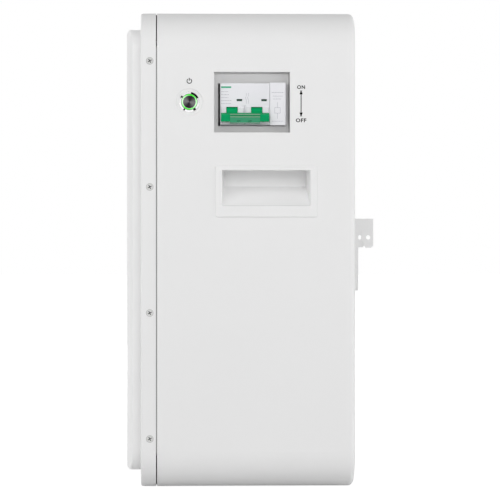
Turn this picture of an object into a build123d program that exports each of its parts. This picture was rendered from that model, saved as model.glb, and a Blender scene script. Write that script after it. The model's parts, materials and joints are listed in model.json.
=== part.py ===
from build123d import *
import math
import os

# Wall-mount battery. X runs across its width, Y from the front to the wall, Z up.
# Sizes are in millimetres. X is counted from the middle of the housing and Y from its
# front edge, until the pieces are written about the middle of the whole outline.

# Enclosure
width = 420.0
height = 520.0
body_depth = 216.0
cover_depth = 16.5
seam_gap = 1.1
corner_radius = 40.0
sheet = 1.5
rear_edge_radius = 6.0
cover_edge_radius = 2.0
housing_rim_radius = 0.6

# Raised front panel
panel_raise = 16.4
panel_inset = 18.0
panel_wall = 2.5
panel_side_fall = 7.0
panel_curve_wide = 75.0
panel_edge = 1.2
panel_boss_radius = 4.5
panel_boss_inset = 30.0

# Mounting lips behind the seam, and the cover screws
lip_forward = 12.0
lip_back = 14.0
lip_clearance = 0.1
lip_overrun = 1.5
screw_from_front = 9.8
screw_rows = 4
screw_end_gap = 54.7
screw_head_radius = 4.0
screw_head_depth = 1.3
screw_shank_radius = 1.9
screw_length = 9.0
screw_clearance = 0.15
recess_length = 4.6
recess_width = 0.9
recess_depth = 0.9
recess_turn = 28.0
hook_recess_depth = 2.0

# Hook bracket on the back
bracket_half_width = 65.0
bracket_sheet = 3.0
weld_leg = 2.0
bracket_top_from_mid = 35.2
bracket_tall = 82.6
flange_depth = 14.0
ear_depth = 31.2
ear_tall = 33.4
ear_corner = 5.0
ear_end_corner = 2.6
hook_slot_width = 3.5
hook_slot_rise = 21.0
hook_slot_mouth = 9.0
ear_hole_radius = 2.6
ear_hole_from_end = 5.7
ear_hole_from_top = 21.5
bracket_screw_x = 45.0
bracket_screw_z = 27.0
bracket_screw_radius = 3.0
bracket_screw_head_radius = 5.5
bracket_screw_head = 3.3
bracket_nut_radius = 5.8
bracket_nut = 5.0

# Breaker window
window_y = 62.1
window_wide = 82.5
window_tall = 65.8
window_below_top = 99.35
tray_sheet = 1.0
tray_flange = 8.0
tray_fit = 0.3
nose_front_gap = 1.9

# Breaker: two poles and a narrower shunt-trip block on a mounting rail
nose_recess = 15.0
nose_depth = 68.0
nose_tall = 45.0
shoulder_depth = 46.0
shoulder_tall = 72.0
breaker_tall = 82.0
cheek_depth = 42.0
pole_width = 27.0
trip_width = 18.0
trip_proud = 1.2
trip_taller = 1.4
block_gap = 0.1
breaker_y = 69.0
nose_drop = 1.05
nose_groove = 0.7
foot_depth = 4.0
rail_height = 35.0
rail_hat = 27.0
rail_depth = 7.5
rail_sheet = 1.0
rail_play = 0.2
claw_reach = 1.9
clip_thickness = 1.6
clip_width = 11.0
clip_travel = 4.0
clip_pull_tall = 2.0
clip_pull_from_end = 1.0
cable_hole_radius = 5.5
cable_hole_depth = 14.0

# Breaker toggles
toggle_behind_face = 6.0
toggle_drop = 9.9
toggle_off_angle = 22.0
toggle_on_angle = 30.0
toggle_reach = 14.0
toggle_thickness = 5.0
toggle_width = 11.9
toggle_side_play = 0.3
toggle_centre = 12.9
drum_radius = 7.5
drum_play = 0.6
axle_radius = 1.5
axle_length = 2.0
axle_play = 0.05
slot_play = 0.25
slot_below = 8.0
guard_proud = 2.0
guard_inset = 1.2
guard_above = 6.2
guard_from_end = 1.0
guard_edge = 0.5
tie_bar_tall = 8.6
tie_bar_thick = 6.0
tie_bar_play = 0.05
tie_bar_short = 0.8
tie_bar_edge = 1.2
sleeve_length = 32.7
sleeve_wall = 0.8
sleeve_over = 0.5
sleeve_ribs = 2
sleeve_rib = 0.5
sleeve_rib_tall = 0.8
sleeve_rib_pitch = 2.4

# Contact flags
flag_centre = 21.0
flag_rise = 4.1
flag_window_wide = 6.0
flag_window_tall = 2.3
flag_behind_face = 1.5
flag_thickness = 1.0
flag_play = 0.3
flag_wide = 6.6
flag_tall = 8.0
flag_travel = 4.0

# Power button
button_y = 35.2
button_below_top = 99.2
dish_radius = 15.0
dish_step = 1.2
dish_depth = 0.8
bezel_radius = 10.85
bezel_height = 2.2
bezel_chamfer = 1.0
barrel_radius = 9.4
barrel_play = 0.2
barrel_length = 20.0
ring_outer = 8.5
ring_inner = 7.1
ring_depth = 3.0
ring_play = 0.05
ring_edge = 0.3
cap_radius = 6.7
cap_length = 10.0
cap_play = 0.1
cap_edge = 0.4
button_travel = 2.5
switch_length = 9.0
pin_count = 5
pin_radius = 0.8
pin_length = 4.0
pin_circle = 5.0
nut_across_flats = 24.0
nut_thickness = 3.0

# Recessed handles
handle_y = 63.5
handle_wide = 111.0
handle_below_top = 168.4
handle_tall = 55.9
frame_front = 7.1
frame_rear = 7.6
frame_top = 4.7
frame_bottom = 12.3
frame_proud = 1.5
frame_edge = 0.7
frame_corner = 2.0
pocket_depth = 40.0
pocket_draft = 3.0
pocket_back_tall = 17.2
finger_lip = 18.0
finger_rise = 8.0
handle_wall = 2.5
handle_fit = 0.3

# Power terminals, ground stud and communication sockets on the left side
terminal_from_back = 104.0
terminal_pitch = 50.0
terminal_below_top = 98.5
bushing_radius = 15.0
bushing_height = 5.0
bushing_neck_radius = 9.0
bushing_tail = 10.0
bushing_play = 0.2
bushing_edge = 1.5
stud_radius = 4.0
stud_out = 18.0
stud_in = 16.0
stud_play = 0.05
stud_chamfer = 0.8
stud_groove = 0.8
stud_groove_radius = 3.3
terminal_nut_radius = 7.5
nut_corner_bevel = 0.06
terminal_nut = 6.5
ground_below_top = 142.5
ground_radius = 3.0
ground_out = 14.0
ground_in = 4.0
ground_chamfer = 0.6
ground_washer_radius = 6.5
ground_washer = 1.6
socket_from_back = 58.0
socket_below_top = 98.5
socket_wide = 33.0
socket_tall = 14.5
socket_deep = 17.0
socket_fit = 0.3
port_wide = 11.9
port_tall = 8.4
port_deep = 12.0
port_pitch = 15.6
port_latch_wide = 6.2
port_latch = 2.2
board_wide = 56.0
board_tall = 40.0
board_thick = 1.6
spacer_radius = 3.0
spacer_from_edge = 4.0

# Cells and what holds them
cell_wide = 130.3
cell_rows = 8
cell_edge = 3.0
cell_back_gap = 10.5
cell_front_gap = 9.0
column_gap = 6.0
stack_headroom = 189.4
stack_from_handle = 16.2
sheet_between = 1.0
pad_offset = 42.0
pad_wide = 22.0
pad_tall = 14.0
pad_high = 3.0
vent_radius = 9.0
vent_high = 0.6
sheet_short = 1.0
busbar = 2.0
busbar_margin = 2.0
end_plate = 8.0
rail_under = 12.5
rail_under_wide = 30.0
rail_under_x = 90.0
rail_under_start = 2.0
rail_under_sheet = 2.0
plate_setback = 4.0
strap_fold = 20.0
strap_wide = 25.0
strap_thick = 1.5
strap_first = 45.0
strap_pitch = 105.0
insulation = 2.0

# Battery management board
bms_wide = 210.0
bms_tall = 104.0
bms_x = -45.0
bms_below_top = 24.5
bms_plate = 6.0
bms_margin = 8.0
bms_spacer = 12.0
bms_board_gap = 5.0
chip_rows = 2
chips_in_row = 10
chip_wide = 10.0
chip_tall = 15.0
chip_high = 4.5

# Power leads
lead_radius = 4.5
lead_bend = 9.0
lead_below_top = 22.5
lead_lift = 12.0
lug_thick = 2.0
lug_wide = 16.0

# Places that follow from the sizes above
side_x = width / 2
mid_z = height / 2
cover_back = -seam_gap
cover_front = cover_back - cover_depth
panel_front = cover_front - panel_raise
ear_end = body_depth + ear_depth
y_centre = (panel_front + ear_end) / 2
lip_end = corner_radius - lip_overrun
right_end = side_x + frame_proud
left_end = -side_x - bushing_height - stud_out
x_centre = (left_end + right_end) / 2
inner_side = side_x - sheet
panel_screw_tip = cover_front + sheet - screw_length
window_z = height - window_below_top
window_span_y = (window_y, window_y + window_wide)
window_span_z = (window_z - window_tall / 2, window_z + window_tall / 2)
nose_x = side_x - nose_recess
rail_x = nose_x - nose_depth
shoulder_x = rail_x + shoulder_depth
nose_z = window_z - nose_drop
tray_floor_x = shoulder_x + tray_fit
rail_back_x = rail_x - rail_depth
breaker_end = breaker_y + 2 * pole_width + trip_width
clip_tab = clip_travel + clip_pull_tall
toggle_x = nose_x - toggle_behind_face
lever_up = math.radians(toggle_on_angle)
slot_above = (
    toggle_behind_face * math.tan(lever_up) + toggle_thickness / 2 / math.cos(lever_up) + slot_play
)
toggle_z = nose_z - toggle_drop
flag_z = nose_z + flag_rise
button_z = height - button_below_top
handle_top = height - handle_below_top
handle_bottom = handle_top - handle_tall
terminal_z = height - terminal_below_top
terminal_y = (body_depth - terminal_from_back - terminal_pitch, body_depth - terminal_from_back)
ground_y = terminal_y[0]
socket_y = body_depth - socket_from_back
ground_z = height - ground_below_top
socket_z = height - socket_below_top
cell_back = body_depth - sheet - cell_back_gap
cell_front = cell_front_gap
stack_bottom = sheet + rail_under + end_plate
stack_top = height - stack_headroom - end_plate
stack_pitch = (stack_top - stack_bottom + sheet_between) / cell_rows
cell_thick = stack_pitch - sheet_between
stack_half = cell_wide + column_gap / 2
stack_left = pocket_depth + handle_wall + stack_from_handle - side_x
stack_middle = stack_left + stack_half
stack_right = stack_middle + stack_half
bms_top = height - bms_below_top

TURN = {"X": (0, 90, 0), "Y": (-90, 0, 0), "Z": (0, 0, 0)}
LOW = (Align.CENTER, Align.CENTER, Align.MIN)


def block(x_span, y_span, z_span):
    """A box between two places on each axis."""
    spans = (x_span, y_span, z_span)
    middle = [(a + b) / 2 for a, b in spans]
    size = [abs(b - a) for a, b in spans]
    return Pos(*middle) * Box(*size)


def around(middle, size):
    """The two ends of a length about its middle."""
    return (middle - size / 2, middle + size / 2)


def rod(axis, start, radius, length):
    """A cylinder that grows from start along one axis."""
    return Pos(*start) * Rot(*TURN[axis]) * Cylinder(radius, length, align=LOW)


def cone(axis, start, radius_low, radius_high, length):
    """A cut cone that grows from start along one axis."""
    return Pos(*start) * Rot(*TURN[axis]) * Cone(radius_low, radius_high, length, align=LOW)


def hexagon(axis, start, radius, length, bore):
    """A hexagonal nut with bevelled corners; its radius is the one across them."""
    nut = extrude(RegularPolygon(radius, 6) - Circle(bore), length)
    round_bar = Cylinder(radius, length, align=LOW)
    nut &= chamfer(round_bar.edges(), nut_corner_bevel * radius, nut_corner_bevel * radius * 2)
    return Pos(*start) * Rot(*TURN[axis]) * nut


def rounded_slab(half_x, z_span, radius, y_span):
    """A rounded rectangle, square to Y, between two places on Y."""
    y0, y1 = y_span
    outline = Pos(0, sum(z_span) / 2) * RectangleRounded(2 * half_x, z_span[1] - z_span[0], radius)
    return extrude(Plane.XZ.offset(-y0) * outline, -(y1 - y0))


def side_profile(points, y_span):
    """A flat outline in X and Z, drawn out along Y."""
    y0, y1 = y_span
    outline = Plane.XZ.offset(-y0) * make_face(Polyline(*points, close=True))
    return extrude(outline, -(y1 - y0))


def depth_profile(points, x_span):
    """A flat outline in Y and Z, drawn out along X."""
    x0, x1 = x_span
    outline = Plane.YZ.offset(x0) * make_face(Polyline(*points, close=True))
    return extrude(outline, x1 - x0)


def end_edges(shape, axis, last=True):
    """The edges round the outermost face along an axis."""
    faces = shape.faces().sort_by(axis)
    return (faces[-1] if last else faces[0]).edges()


def group(pieces):
    """Separate solids that share one node."""
    return Compound([solid for piece in pieces for solid in piece.solids()])


# Pocket and window places that several pieces share

def pocket_spans(x):
    """The handle pocket's opening at its mouth or its back, as spans in Y and Z."""
    share = (side_x + frame_proud - x) / (pocket_depth + frame_proud)
    front = handle_y + frame_front + share * pocket_draft
    rear = handle_y + handle_wide - frame_rear - share * pocket_draft
    top = handle_top - frame_top
    mouth_tall = handle_tall - frame_top - frame_bottom
    tall = mouth_tall + share * (pocket_back_tall - mouth_tall)
    return (front, rear), (top - tall, top)


def pocket_rectangle(x, grow, place=None):
    """The pocket's section at x, grown all round, as a face at place or at x."""
    y_span, z_span = pocket_spans(x)
    at = x if place is None else place
    plane = Plane(origin=(at, sum(y_span) / 2, sum(z_span) / 2), x_dir=(0, 1, 0), z_dir=(1, 0, 0))
    return plane * Rectangle(y_span[1] - y_span[0] + 2 * grow, z_span[1] - z_span[0] + 2 * grow)


def pocket_body(grow):
    """The pocket's hollow, or its outside when grown by the wall."""
    mouth_x = side_x + frame_proud
    back_x = side_x - pocket_depth
    reach = loft([pocket_rectangle(back_x, grow, back_x - grow), pocket_rectangle(mouth_x, grow)])
    (y0, y1), (z0, z1) = pocket_spans(back_x)
    finger = block(
        (back_x - grow, side_x - finger_lip + grow),
        (y0 - grow, y1 + grow),
        (z0, z1 + finger_rise + grow),
    )
    return reach + finger


# Enclosure

def main_housing():
    outer = rounded_slab(side_x, (0, height), corner_radius, (0, body_depth))
    outer = fillet(end_edges(outer, Axis.Y), rear_edge_radius)
    outer = fillet(end_edges(outer, Axis.Y, last=False), housing_rim_radius)
    inner = rounded_slab(
        inner_side, (sheet, height - sheet), corner_radius - sheet, (-sheet, body_depth - sheet)
    )
    inner = fillet(end_edges(inner, Axis.Y), rear_edge_radius - sheet)
    shell = outer - inner
    right_wall = (inner_side - sheet, side_x + sheet)
    shell += rod("X", (inner_side - dish_depth, button_y, button_z), dish_radius, dish_depth)
    shell -= cone(
        "X", (side_x - dish_depth, button_y, button_z), dish_radius - dish_step, dish_radius, dish_depth
    )
    shell -= rod(
        "X", (inner_side - sheet, button_y, button_z), barrel_radius + barrel_play, 3 * sheet
    )
    shell -= block(right_wall, window_span_y, window_span_z)
    hole = handle_hole()
    shell -= hole
    shell -= mirror(hole, Plane.YZ)
    left_start = -side_x - sheet
    for y in terminal_y:
        shell -= rod(
            "X", (left_start, y, terminal_z), bushing_neck_radius + bushing_play, 3 * sheet
        )
    shell -= rod("X", (left_start, ground_y, ground_z), ground_radius + bushing_play, 3 * sheet)
    shell -= block(
        (left_start, left_start + 3 * sheet),
        around(socket_y, socket_wide + 2 * socket_fit),
        around(socket_z, socket_tall + 2 * socket_fit),
    )
    return shell + weld_nuts() - bracket_screw_holes(body_depth - sheet - bracket_nut)


def handle_hole():
    """The opening in the housing's right wall that the handle drops into."""
    (y0, y1), (z0, z1) = pocket_spans(side_x + frame_proud)
    grow = handle_wall + handle_fit
    return block((inner_side - sheet, side_x + sheet), (y0 - grow, y1 + grow), (z0 - grow, z1 + grow))


def mounting_lips():
    """Four straight strips: the rounded corners have none."""
    y_span = (-lip_forward, lip_back)
    outside = inner_side - lip_clearance
    upper = height - sheet - lip_clearance
    long_span = (lip_end, height - lip_end)
    cross_span = (lip_end - side_x, side_x - lip_end)
    right = block((outside - sheet, outside), y_span, long_span)
    for z in screw_heights():
        right -= rod(
            "X",
            (outside - 2 * sheet, cover_screw_y(), z),
            screw_shank_radius + screw_clearance,
            3 * sheet,
        )
    top = block(cross_span, y_span, (upper - sheet, upper))
    bottom = mirror(top, Plane.XY.offset(mid_z))
    return group([right, mirror(right, Plane.YZ), top, bottom])


def screw_heights():
    pitch = (height - 2 * screw_end_gap) / (screw_rows - 1)
    return [screw_end_gap + row * pitch for row in range(screw_rows)]


def cover_screw_y():
    return cover_front + screw_from_front


def front_cover():
    outer = rounded_slab(side_x, (0, height), corner_radius, (cover_front, cover_back))
    outer = fillet(end_edges(outer, Axis.Y, last=False), cover_edge_radius)
    inner = rounded_slab(
        inner_side,
        (sheet, height - sheet),
        corner_radius - sheet,
        (cover_front + sheet, cover_back + sheet),
    )
    pan = outer - inner
    sink = screw_head_radius + screw_clearance
    for z in screw_heights():
        hole = rod(
            "X",
            (inner_side - sheet, cover_screw_y(), z),
            screw_shank_radius + screw_clearance,
            3 * sheet,
        )
        hole += cone(
            "X",
            (side_x - screw_head_depth, cover_screw_y(), z),
            screw_shank_radius + screw_clearance,
            sink,
            screw_head_depth,
        )
        pan -= hole
        pan -= mirror(hole, Plane.YZ)
    for x, z in panel_boss_places():
        pan -= rod(
            "Y", (x, cover_front - sheet, z), screw_shank_radius + screw_clearance, 3 * sheet
        )
    return pan


def cover_screw(z):
    """A countersunk screw in the right side, with its cross recess turned a little."""
    start = inner_side - lip_clearance - sheet - (screw_length - screw_head_depth - 2 * sheet)
    y = cover_screw_y()
    screw = rod("X", (start, y, z), screw_shank_radius, side_x - screw_head_depth - start)
    screw += cone(
        "X", (side_x - screw_head_depth, y, z), screw_shank_radius, screw_head_radius, screw_head_depth
    )
    return screw - recess("X", (side_x, y, z), recess_depth, recess_turn)


def recess(axis, place, depth, turn):
    """A cross recess whose mouth is at place, sunk against the axis."""
    cross = Box(recess_length, recess_width, 2 * depth) + Box(recess_width, recess_length, 2 * depth)
    return Pos(*place) * Rot(*TURN[axis]) * Rot(0, 0, turn) * cross


def cover_screws():
    right = [cover_screw(z) for z in screw_heights()]
    return group(right + [mirror(screw, Plane.YZ) for screw in right])


def panel_boss_places():
    x = side_x - panel_inset - panel_boss_inset
    z_low = panel_inset + panel_boss_inset
    return [(sx * x, z) for sx in (-1, 1) for z in (z_low, mid_z, height - z_low)]


def panel_fall(inset):
    """How far the panel's front has fallen back, at a distance in from its side."""
    radius = (panel_curve_wide**2 + panel_side_fall**2) / (2 * panel_side_fall)
    return radius - math.sqrt(radius**2 - (panel_curve_wide - inset) ** 2)


def panel_slab(inside):
    """The panel's outer form, or the same set inside it: flat in the middle, falling
    back in an arc to each side, and cut to a rounded outline."""
    half = side_x - panel_inset
    front = panel_front + inside
    flat = half - panel_curve_wide
    beyond = panel_wall
    arc_end = (half + beyond, front + panel_fall(-beyond))
    middle_inset = (panel_curve_wide - beyond) / 2
    arc_middle = (half - middle_inset, front + panel_fall(middle_inset))
    right_arc = ThreePointArc(arc_end, arc_middle, (flat, front))
    left_arc = ThreePointArc((-arc_end[0], arc_end[1]), (-arc_middle[0], arc_middle[1]), (-flat, front))
    back_line = cover_front + inside + beyond
    sides = Polyline(
        (-arc_end[0], arc_end[1]), (-arc_end[0], back_line), (arc_end[0], back_line), arc_end
    )
    plan = make_face(sides + right_arc + Line((flat, front), (-flat, front)) + left_arc)
    z_low = panel_inset + inside
    radius = corner_radius - panel_inset - inside
    y_span = (front - beyond, cover_front + inside)
    outline = rounded_slab(half - inside, (z_low, height - z_low), radius, y_span)
    return extrude(plan, height) & outline


def front_rim(slab):
    """The edges between the panel's front and its sides."""
    fronts = [face for face in slab.faces() if face.normal_at().Y < -0.5]
    edges = [edge for face in fronts for edge in face.edges()]
    return [edge for edge in edges if sum(edge.is_same(other) for other in edges) == 1]


def front_panel():
    outer = panel_slab(0)
    outer = fillet(front_rim(outer), panel_edge)
    panel = outer - panel_slab(panel_wall)
    for x, z in panel_boss_places():
        start = panel_front + panel_fall(panel_boss_inset) + panel_wall / 2
        boss = rod("Y", (x, start, z), panel_boss_radius, cover_front - start)
        bore = screw_shank_radius + screw_clearance
        boss -= rod("Y", (x, panel_screw_tip - sheet, z), bore, panel_raise)
        panel += boss
    return panel


def front_panel_screws():
    """Pan-head screws that hold the panel from behind the cover."""
    screws = []
    for x, z in panel_boss_places():
        seat = cover_front + sheet
        shank = rod("Y", (x, panel_screw_tip, z), screw_shank_radius, screw_length)
        head = rod("Y", (x, seat, z), screw_head_radius, 2 * screw_head_depth)
        head = fillet(end_edges(head, Axis.Y), screw_head_depth / 2)
        mouth = (x, seat + 2 * screw_head_depth, z)
        screws.append(shank + head - recess("Y", mouth, recess_depth, recess_turn))
    return group(screws)


# Hook bracket

def bracket_screw_places():
    z_mid = mid_z + bracket_top_from_mid - bracket_tall / 2
    return [
        (sx * bracket_screw_x, z_mid + sz * bracket_screw_z) for sx in (-1, 1) for sz in (-1, 1)
    ]


def ear_outline():
    """One side plate: a narrow strip with the hook above it."""
    top = mid_z + bracket_top_from_mid
    bottom = top - bracket_tall
    ear_bottom = top - ear_tall
    back = body_depth
    slot_front = back + flange_depth
    slot_rear = slot_front + hook_slot_width
    slot_top = ear_bottom + hook_slot_rise
    mouth_top = ear_bottom + hook_slot_mouth
    return [
        (back, bottom),
        (slot_front, bottom),
        (slot_front, slot_top),
        (slot_rear, slot_top),
        (slot_rear, mouth_top),
        (slot_rear + ear_corner, ear_bottom),
        (ear_end - ear_end_corner, ear_bottom),
        (ear_end, ear_bottom + ear_end_corner),
        (ear_end, top),
        (back, top),
    ]


def ear_hole_place():
    return ear_end - ear_hole_from_end, mid_z + bracket_top_from_mid - ear_hole_from_top


def hook_bracket():
    """A web plate between two side plates, welded in its corners."""
    inside = bracket_half_width - bracket_sheet
    top = mid_z + bracket_top_from_mid
    z_span = (top - bracket_tall, top)
    web_back = body_depth + bracket_sheet
    web = block((-inside, inside), (body_depth, web_back), z_span)
    web -= bracket_screw_holes(body_depth)
    corner = [(inside, web_back), (inside - weld_leg, web_back), (inside, web_back + weld_leg)]
    bead = extrude(make_face(Polyline(*corner, close=True)), bracket_tall - 2 * weld_leg)
    bead = Pos(0, 0, z_span[0] + weld_leg) * bead
    ear = depth_profile(ear_outline(), (inside, bracket_half_width))
    hole_y, hole_z = ear_hole_place()
    ear -= rod("X", (inside - 1, hole_y, hole_z), ear_hole_radius, 2 * bracket_sheet)
    ear += bead
    return group([web, ear, mirror(ear, Plane.YZ)])


def hook_screws():
    screws = []
    for x, z in bracket_screw_places():
        seat = body_depth + bracket_sheet
        tip = body_depth - sheet - bracket_nut - screw_clearance
        screw = rod("Y", (x, tip, z), bracket_screw_radius, seat - tip)
        head = rod("Y", (x, seat, z), bracket_screw_head_radius, bracket_screw_head)
        head = fillet(end_edges(head, Axis.Y), bracket_screw_head / 3)
        mouth = (x, seat + bracket_screw_head, z)
        screws.append(screw + head - recess("Y", mouth, hook_recess_depth, recess_turn))
    return group(screws)


def weld_nuts():
    """Nuts welded inside the housing's back for the bracket's screws."""
    start = body_depth - sheet - bracket_nut
    bore = bracket_screw_radius + screw_clearance
    return [
        hexagon("Y", (x, start, z), bracket_nut_radius, bracket_nut, bore)
        for x, z in bracket_screw_places()
    ]


def bracket_screw_holes(start):
    length = bracket_nut + 2 * sheet + 3 * bracket_sheet
    return [
        rod("Y", (x, start - 1, z), bracket_screw_radius + screw_clearance, length)
        for x, z in bracket_screw_places()
    ]


# Breaker window and what carries the breaker

def window_tray():
    """A folded tray: a flange on the wall's inside, four walls and a cut-out floor."""
    y0, y1 = window_span_y
    z0, z1 = window_span_z
    t = tray_sheet
    walls = block((tray_floor_x, inner_side), (y0 - t, y1 + t), (z0 - t, z1 + t))
    walls -= block((tray_floor_x + t, side_x), (y0, y1), (z0, z1))
    reach = t + tray_flange
    flange = block(
        (inner_side - t, inner_side), (y0 - reach, y1 + reach), (z0 - reach, z1 + reach)
    )
    flange -= block((inner_side - 2 * t, side_x), (y0, y1), (z0, z1))
    nose = block(
        (tray_floor_x - t, tray_floor_x + 2 * t),
        (breaker_y - nose_front_gap, breaker_end + tray_fit),
        around(nose_z, nose_tall + trip_taller + 2 * tray_fit),
    )
    return walls + flange - nose


def breaker_bracket():
    """A channel that stands on the tray and carries the mounting rail."""
    y0 = window_y - tray_sheet
    y1 = window_y + window_wide + tray_sheet
    t = sheet
    z_span = around(nose_z, rail_height)
    front_wall = block((rail_back_x - t, inner_side - tray_sheet), (y0 - t, y0), z_span)
    rear_wall = block((rail_back_x - t, inner_side - tray_sheet), (y1, y1 + t), z_span)
    back = block((rail_back_x - t, rail_back_x), (y0 - t, y1 + t), z_span)
    return front_wall + rear_wall + back


def din_rail():
    """A top-hat rail, its flanges towards the breaker."""
    s = rail_sheet
    half = rail_height / 2
    hat = rail_hat / 2
    points = [
        (rail_x, -half),
        (rail_x, -hat + s),
        (rail_back_x + s, -hat + s),
        (rail_back_x + s, hat - s),
        (rail_x, hat - s),
        (rail_x, half),
        (rail_x - s, half),
        (rail_x - s, hat),
        (rail_back_x, hat),
        (rail_back_x, -hat),
        (rail_x - s, -hat),
        (rail_x - s, -half),
    ]
    points = [(x, z + nose_z) for x, z in points]
    return side_profile(points, (window_y - tray_sheet, window_y + window_wide + tray_sheet))


# Breaker blocks

def breaker_block(y_span, proud, taller):
    """A block with the stepped profile of a rail-mounted breaker, foot and fixed claw."""
    half = breaker_tall / 2
    shoulder = shoulder_tall / 2
    nose = (nose_tall + taller) / 2
    notch = rail_height / 2 + rail_play
    claw_x = rail_x - rail_sheet - rail_play
    points = [
        (rail_x, -notch),
        (rail_x - foot_depth, -notch),
        (rail_x - foot_depth, -half),
        (rail_x + cheek_depth, -half),
        (shoulder_x, -shoulder),
        (shoulder_x, -nose),
        (nose_x + proud, -nose),
        (nose_x + proud, nose),
        (shoulder_x, nose),
        (shoulder_x, shoulder),
        (rail_x + cheek_depth, half),
        (rail_x - foot_depth, half),
        (rail_x - foot_depth, notch - claw_reach),
        (claw_x, notch - claw_reach),
        (claw_x, notch),
        (rail_x, notch),
    ]
    points = [(x, z + nose_z) for x, z in points]
    body = side_profile(points, y_span)
    upright = body.edges().filter_by(Axis.Z).group_by(Axis.X)[-1]
    body = chamfer(upright, nose_groove)
    y_mid = sum(y_span) / 2
    channel_x = (claw_x - clip_thickness - rail_play, claw_x + rail_play / 2)
    channel_y = around(y_mid, clip_width + 2 * rail_play)
    body -= block(channel_x, channel_y, (nose_z - half - 1, nose_z - notch + 1))
    for end in (-1, 1):
        start = nose_z + end * half - (cable_hole_depth if end > 0 else 0)
        body -= rod("Z", (rail_x + cheek_depth / 2, y_mid, start), cable_hole_radius, cable_hole_depth)
    return body


def block_span(start, wide):
    return (start + block_gap / 2, start + wide - block_gap / 2)


def toggle_middle(pole_start):
    return pole_start + toggle_centre


def toggle_guards(start):
    """A raised block on each side of the toggle's slot, lower than the tie bar's sweep."""
    half = toggle_width / 2 + toggle_side_play
    middle = toggle_middle(start)
    z_span = (nose_z - nose_tall / 2 + guard_from_end, toggle_z + guard_above)
    guards = []
    for y_span in ((start + guard_inset, middle - half), (middle + half, start + pole_width - guard_inset)):
        guard = block((nose_x - nose_groove, nose_x + guard_proud), y_span, z_span)
        guards.append(chamfer(end_edges(guard, Axis.X), guard_edge))
    return guards


def breaker_pole(start):
    body = breaker_block(block_span(start, pole_width), 0, 0)
    body += toggle_guards(start)
    y = toggle_middle(start)
    wide = toggle_width + 2 * toggle_side_play
    body -= rod("Y", (toggle_x, y - wide / 2, toggle_z), drum_radius + drum_play, wide)
    body -= block(
        (toggle_x, nose_x + 2 * guard_proud),
        around(y, wide),
        (toggle_z - slot_below, toggle_z + slot_above),
    )
    span = wide + 2 * axle_length
    body -= rod("Y", (toggle_x, y - span / 2, toggle_z), axle_radius + axle_play, span)
    flag_y = start + flag_centre
    body -= block(
        (nose_x - flag_behind_face - flag_play, nose_x + 1),
        around(flag_y, flag_window_wide),
        around(flag_z, flag_window_tall),
    )
    deep = flag_behind_face + flag_thickness + 2 * flag_play
    body -= block(
        (nose_x - deep, nose_x - flag_behind_face),
        around(flag_y, flag_wide + 2 * flag_play),
        around(flag_z, flag_tall + flag_travel + 2 * flag_play),
    )
    return body


def pole_starts():
    return [breaker_y + index * pole_width for index in range(2)]


def shunt_trip():
    start = breaker_y + 2 * pole_width
    return breaker_block(block_span(start, trip_width), trip_proud, trip_taller)


def clip(start, wide):
    """A flat spring clip that slides in the block's foot and holds the rail's lower edge."""
    y = start + wide / 2
    claw_x = rail_x - rail_sheet - rail_play
    top = nose_z - rail_height / 2 - rail_play + claw_reach
    low = nose_z - breaker_tall / 2 - clip_tab
    body = block((claw_x - clip_thickness, claw_x), around(y, clip_width), (low, top))
    pull = block(
        (claw_x - 2 * clip_thickness, claw_x + clip_thickness),
        around(y, clip_width / 2),
        (low + clip_pull_from_end, low + clip_pull_from_end + clip_pull_tall),
    )
    return body - pull


# Toggles: drawn pointing straight out along X, then turned down to OFF

def turned_off(shape):
    return Pos(toggle_x, 0, toggle_z) * Rot(0, toggle_off_angle, 0) * shape


def toggle_lever(start):
    y = toggle_middle(start)
    drum = rod("Y", (0, y - toggle_width / 2, 0), drum_radius, toggle_width)
    span = toggle_width + 2 * axle_length
    drum += rod("Y", (0, y - span / 2, 0), axle_radius, span)
    reach = toggle_reach - tie_bar_thick / 2 - tie_bar_play
    arm = block((0, reach), around(y, toggle_width), around(0, toggle_thickness))
    return turned_off(drum + arm)


def tie_bar_span():
    return (breaker_y + tie_bar_short, breaker_y + 2 * pole_width - tie_bar_short)


def toggle_tie_bar():
    bar = block(around(toggle_reach, tie_bar_thick), tie_bar_span(), around(0, tie_bar_tall))
    outer = bar.edges().filter_by(Axis.Y).group_by(Axis.X)[-1]
    bar = fillet(outer, tie_bar_edge)
    return turned_off(bar - sleeve_body())


def sleeve_body():
    """A strip over the tie bar's outer face and edges."""
    middle = sum(tie_bar_span()) / 2
    face = toggle_reach + tie_bar_thick / 2
    return block(
        (face - sleeve_wall, face + sleeve_wall / 2),
        around(middle, sleeve_length),
        around(0, tie_bar_tall + 2 * sleeve_over),
    )


def tie_bar_sleeve():
    body = sleeve_body()
    face = toggle_reach + tie_bar_thick / 2 + sleeve_wall / 2
    middle = sum(tie_bar_span()) / 2
    for index in range(sleeve_ribs):
        z = tie_bar_tall / 2 - index * sleeve_rib_pitch
        x_span = (face - sleeve_wall / 2, face + sleeve_rib)
        body += block(x_span, around(middle, sleeve_length), around(z, sleeve_rib_tall))
    return turned_off(body)


def contact_flags():
    face = nose_x - flag_behind_face - flag_play
    z_low = flag_z - (flag_tall - flag_travel) / 2
    flags = []
    for start in pole_starts():
        y_span = around(start + flag_centre, flag_wide)
        flags.append(block((face - flag_thickness, face), y_span, (z_low, z_low + flag_tall)))
    return group(flags)


# Power button

def button_place(x):
    return (x, button_y, button_z)


def button_seat():
    return side_x - dish_depth


def button_body():
    seat = button_seat()
    front = seat + bezel_height
    body = rod("X", button_place(seat), bezel_radius, bezel_height)
    body = chamfer(end_edges(body, Axis.X), bezel_chamfer)
    body += rod("X", button_place(seat - barrel_length), barrel_radius, barrel_length)
    body -= rod("X", button_place(front - ring_depth), ring_outer, ring_depth)
    bore = cap_radius + cap_play
    body -= rod("X", button_place(seat - barrel_length), bore, barrel_length + bezel_height)
    return body


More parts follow.
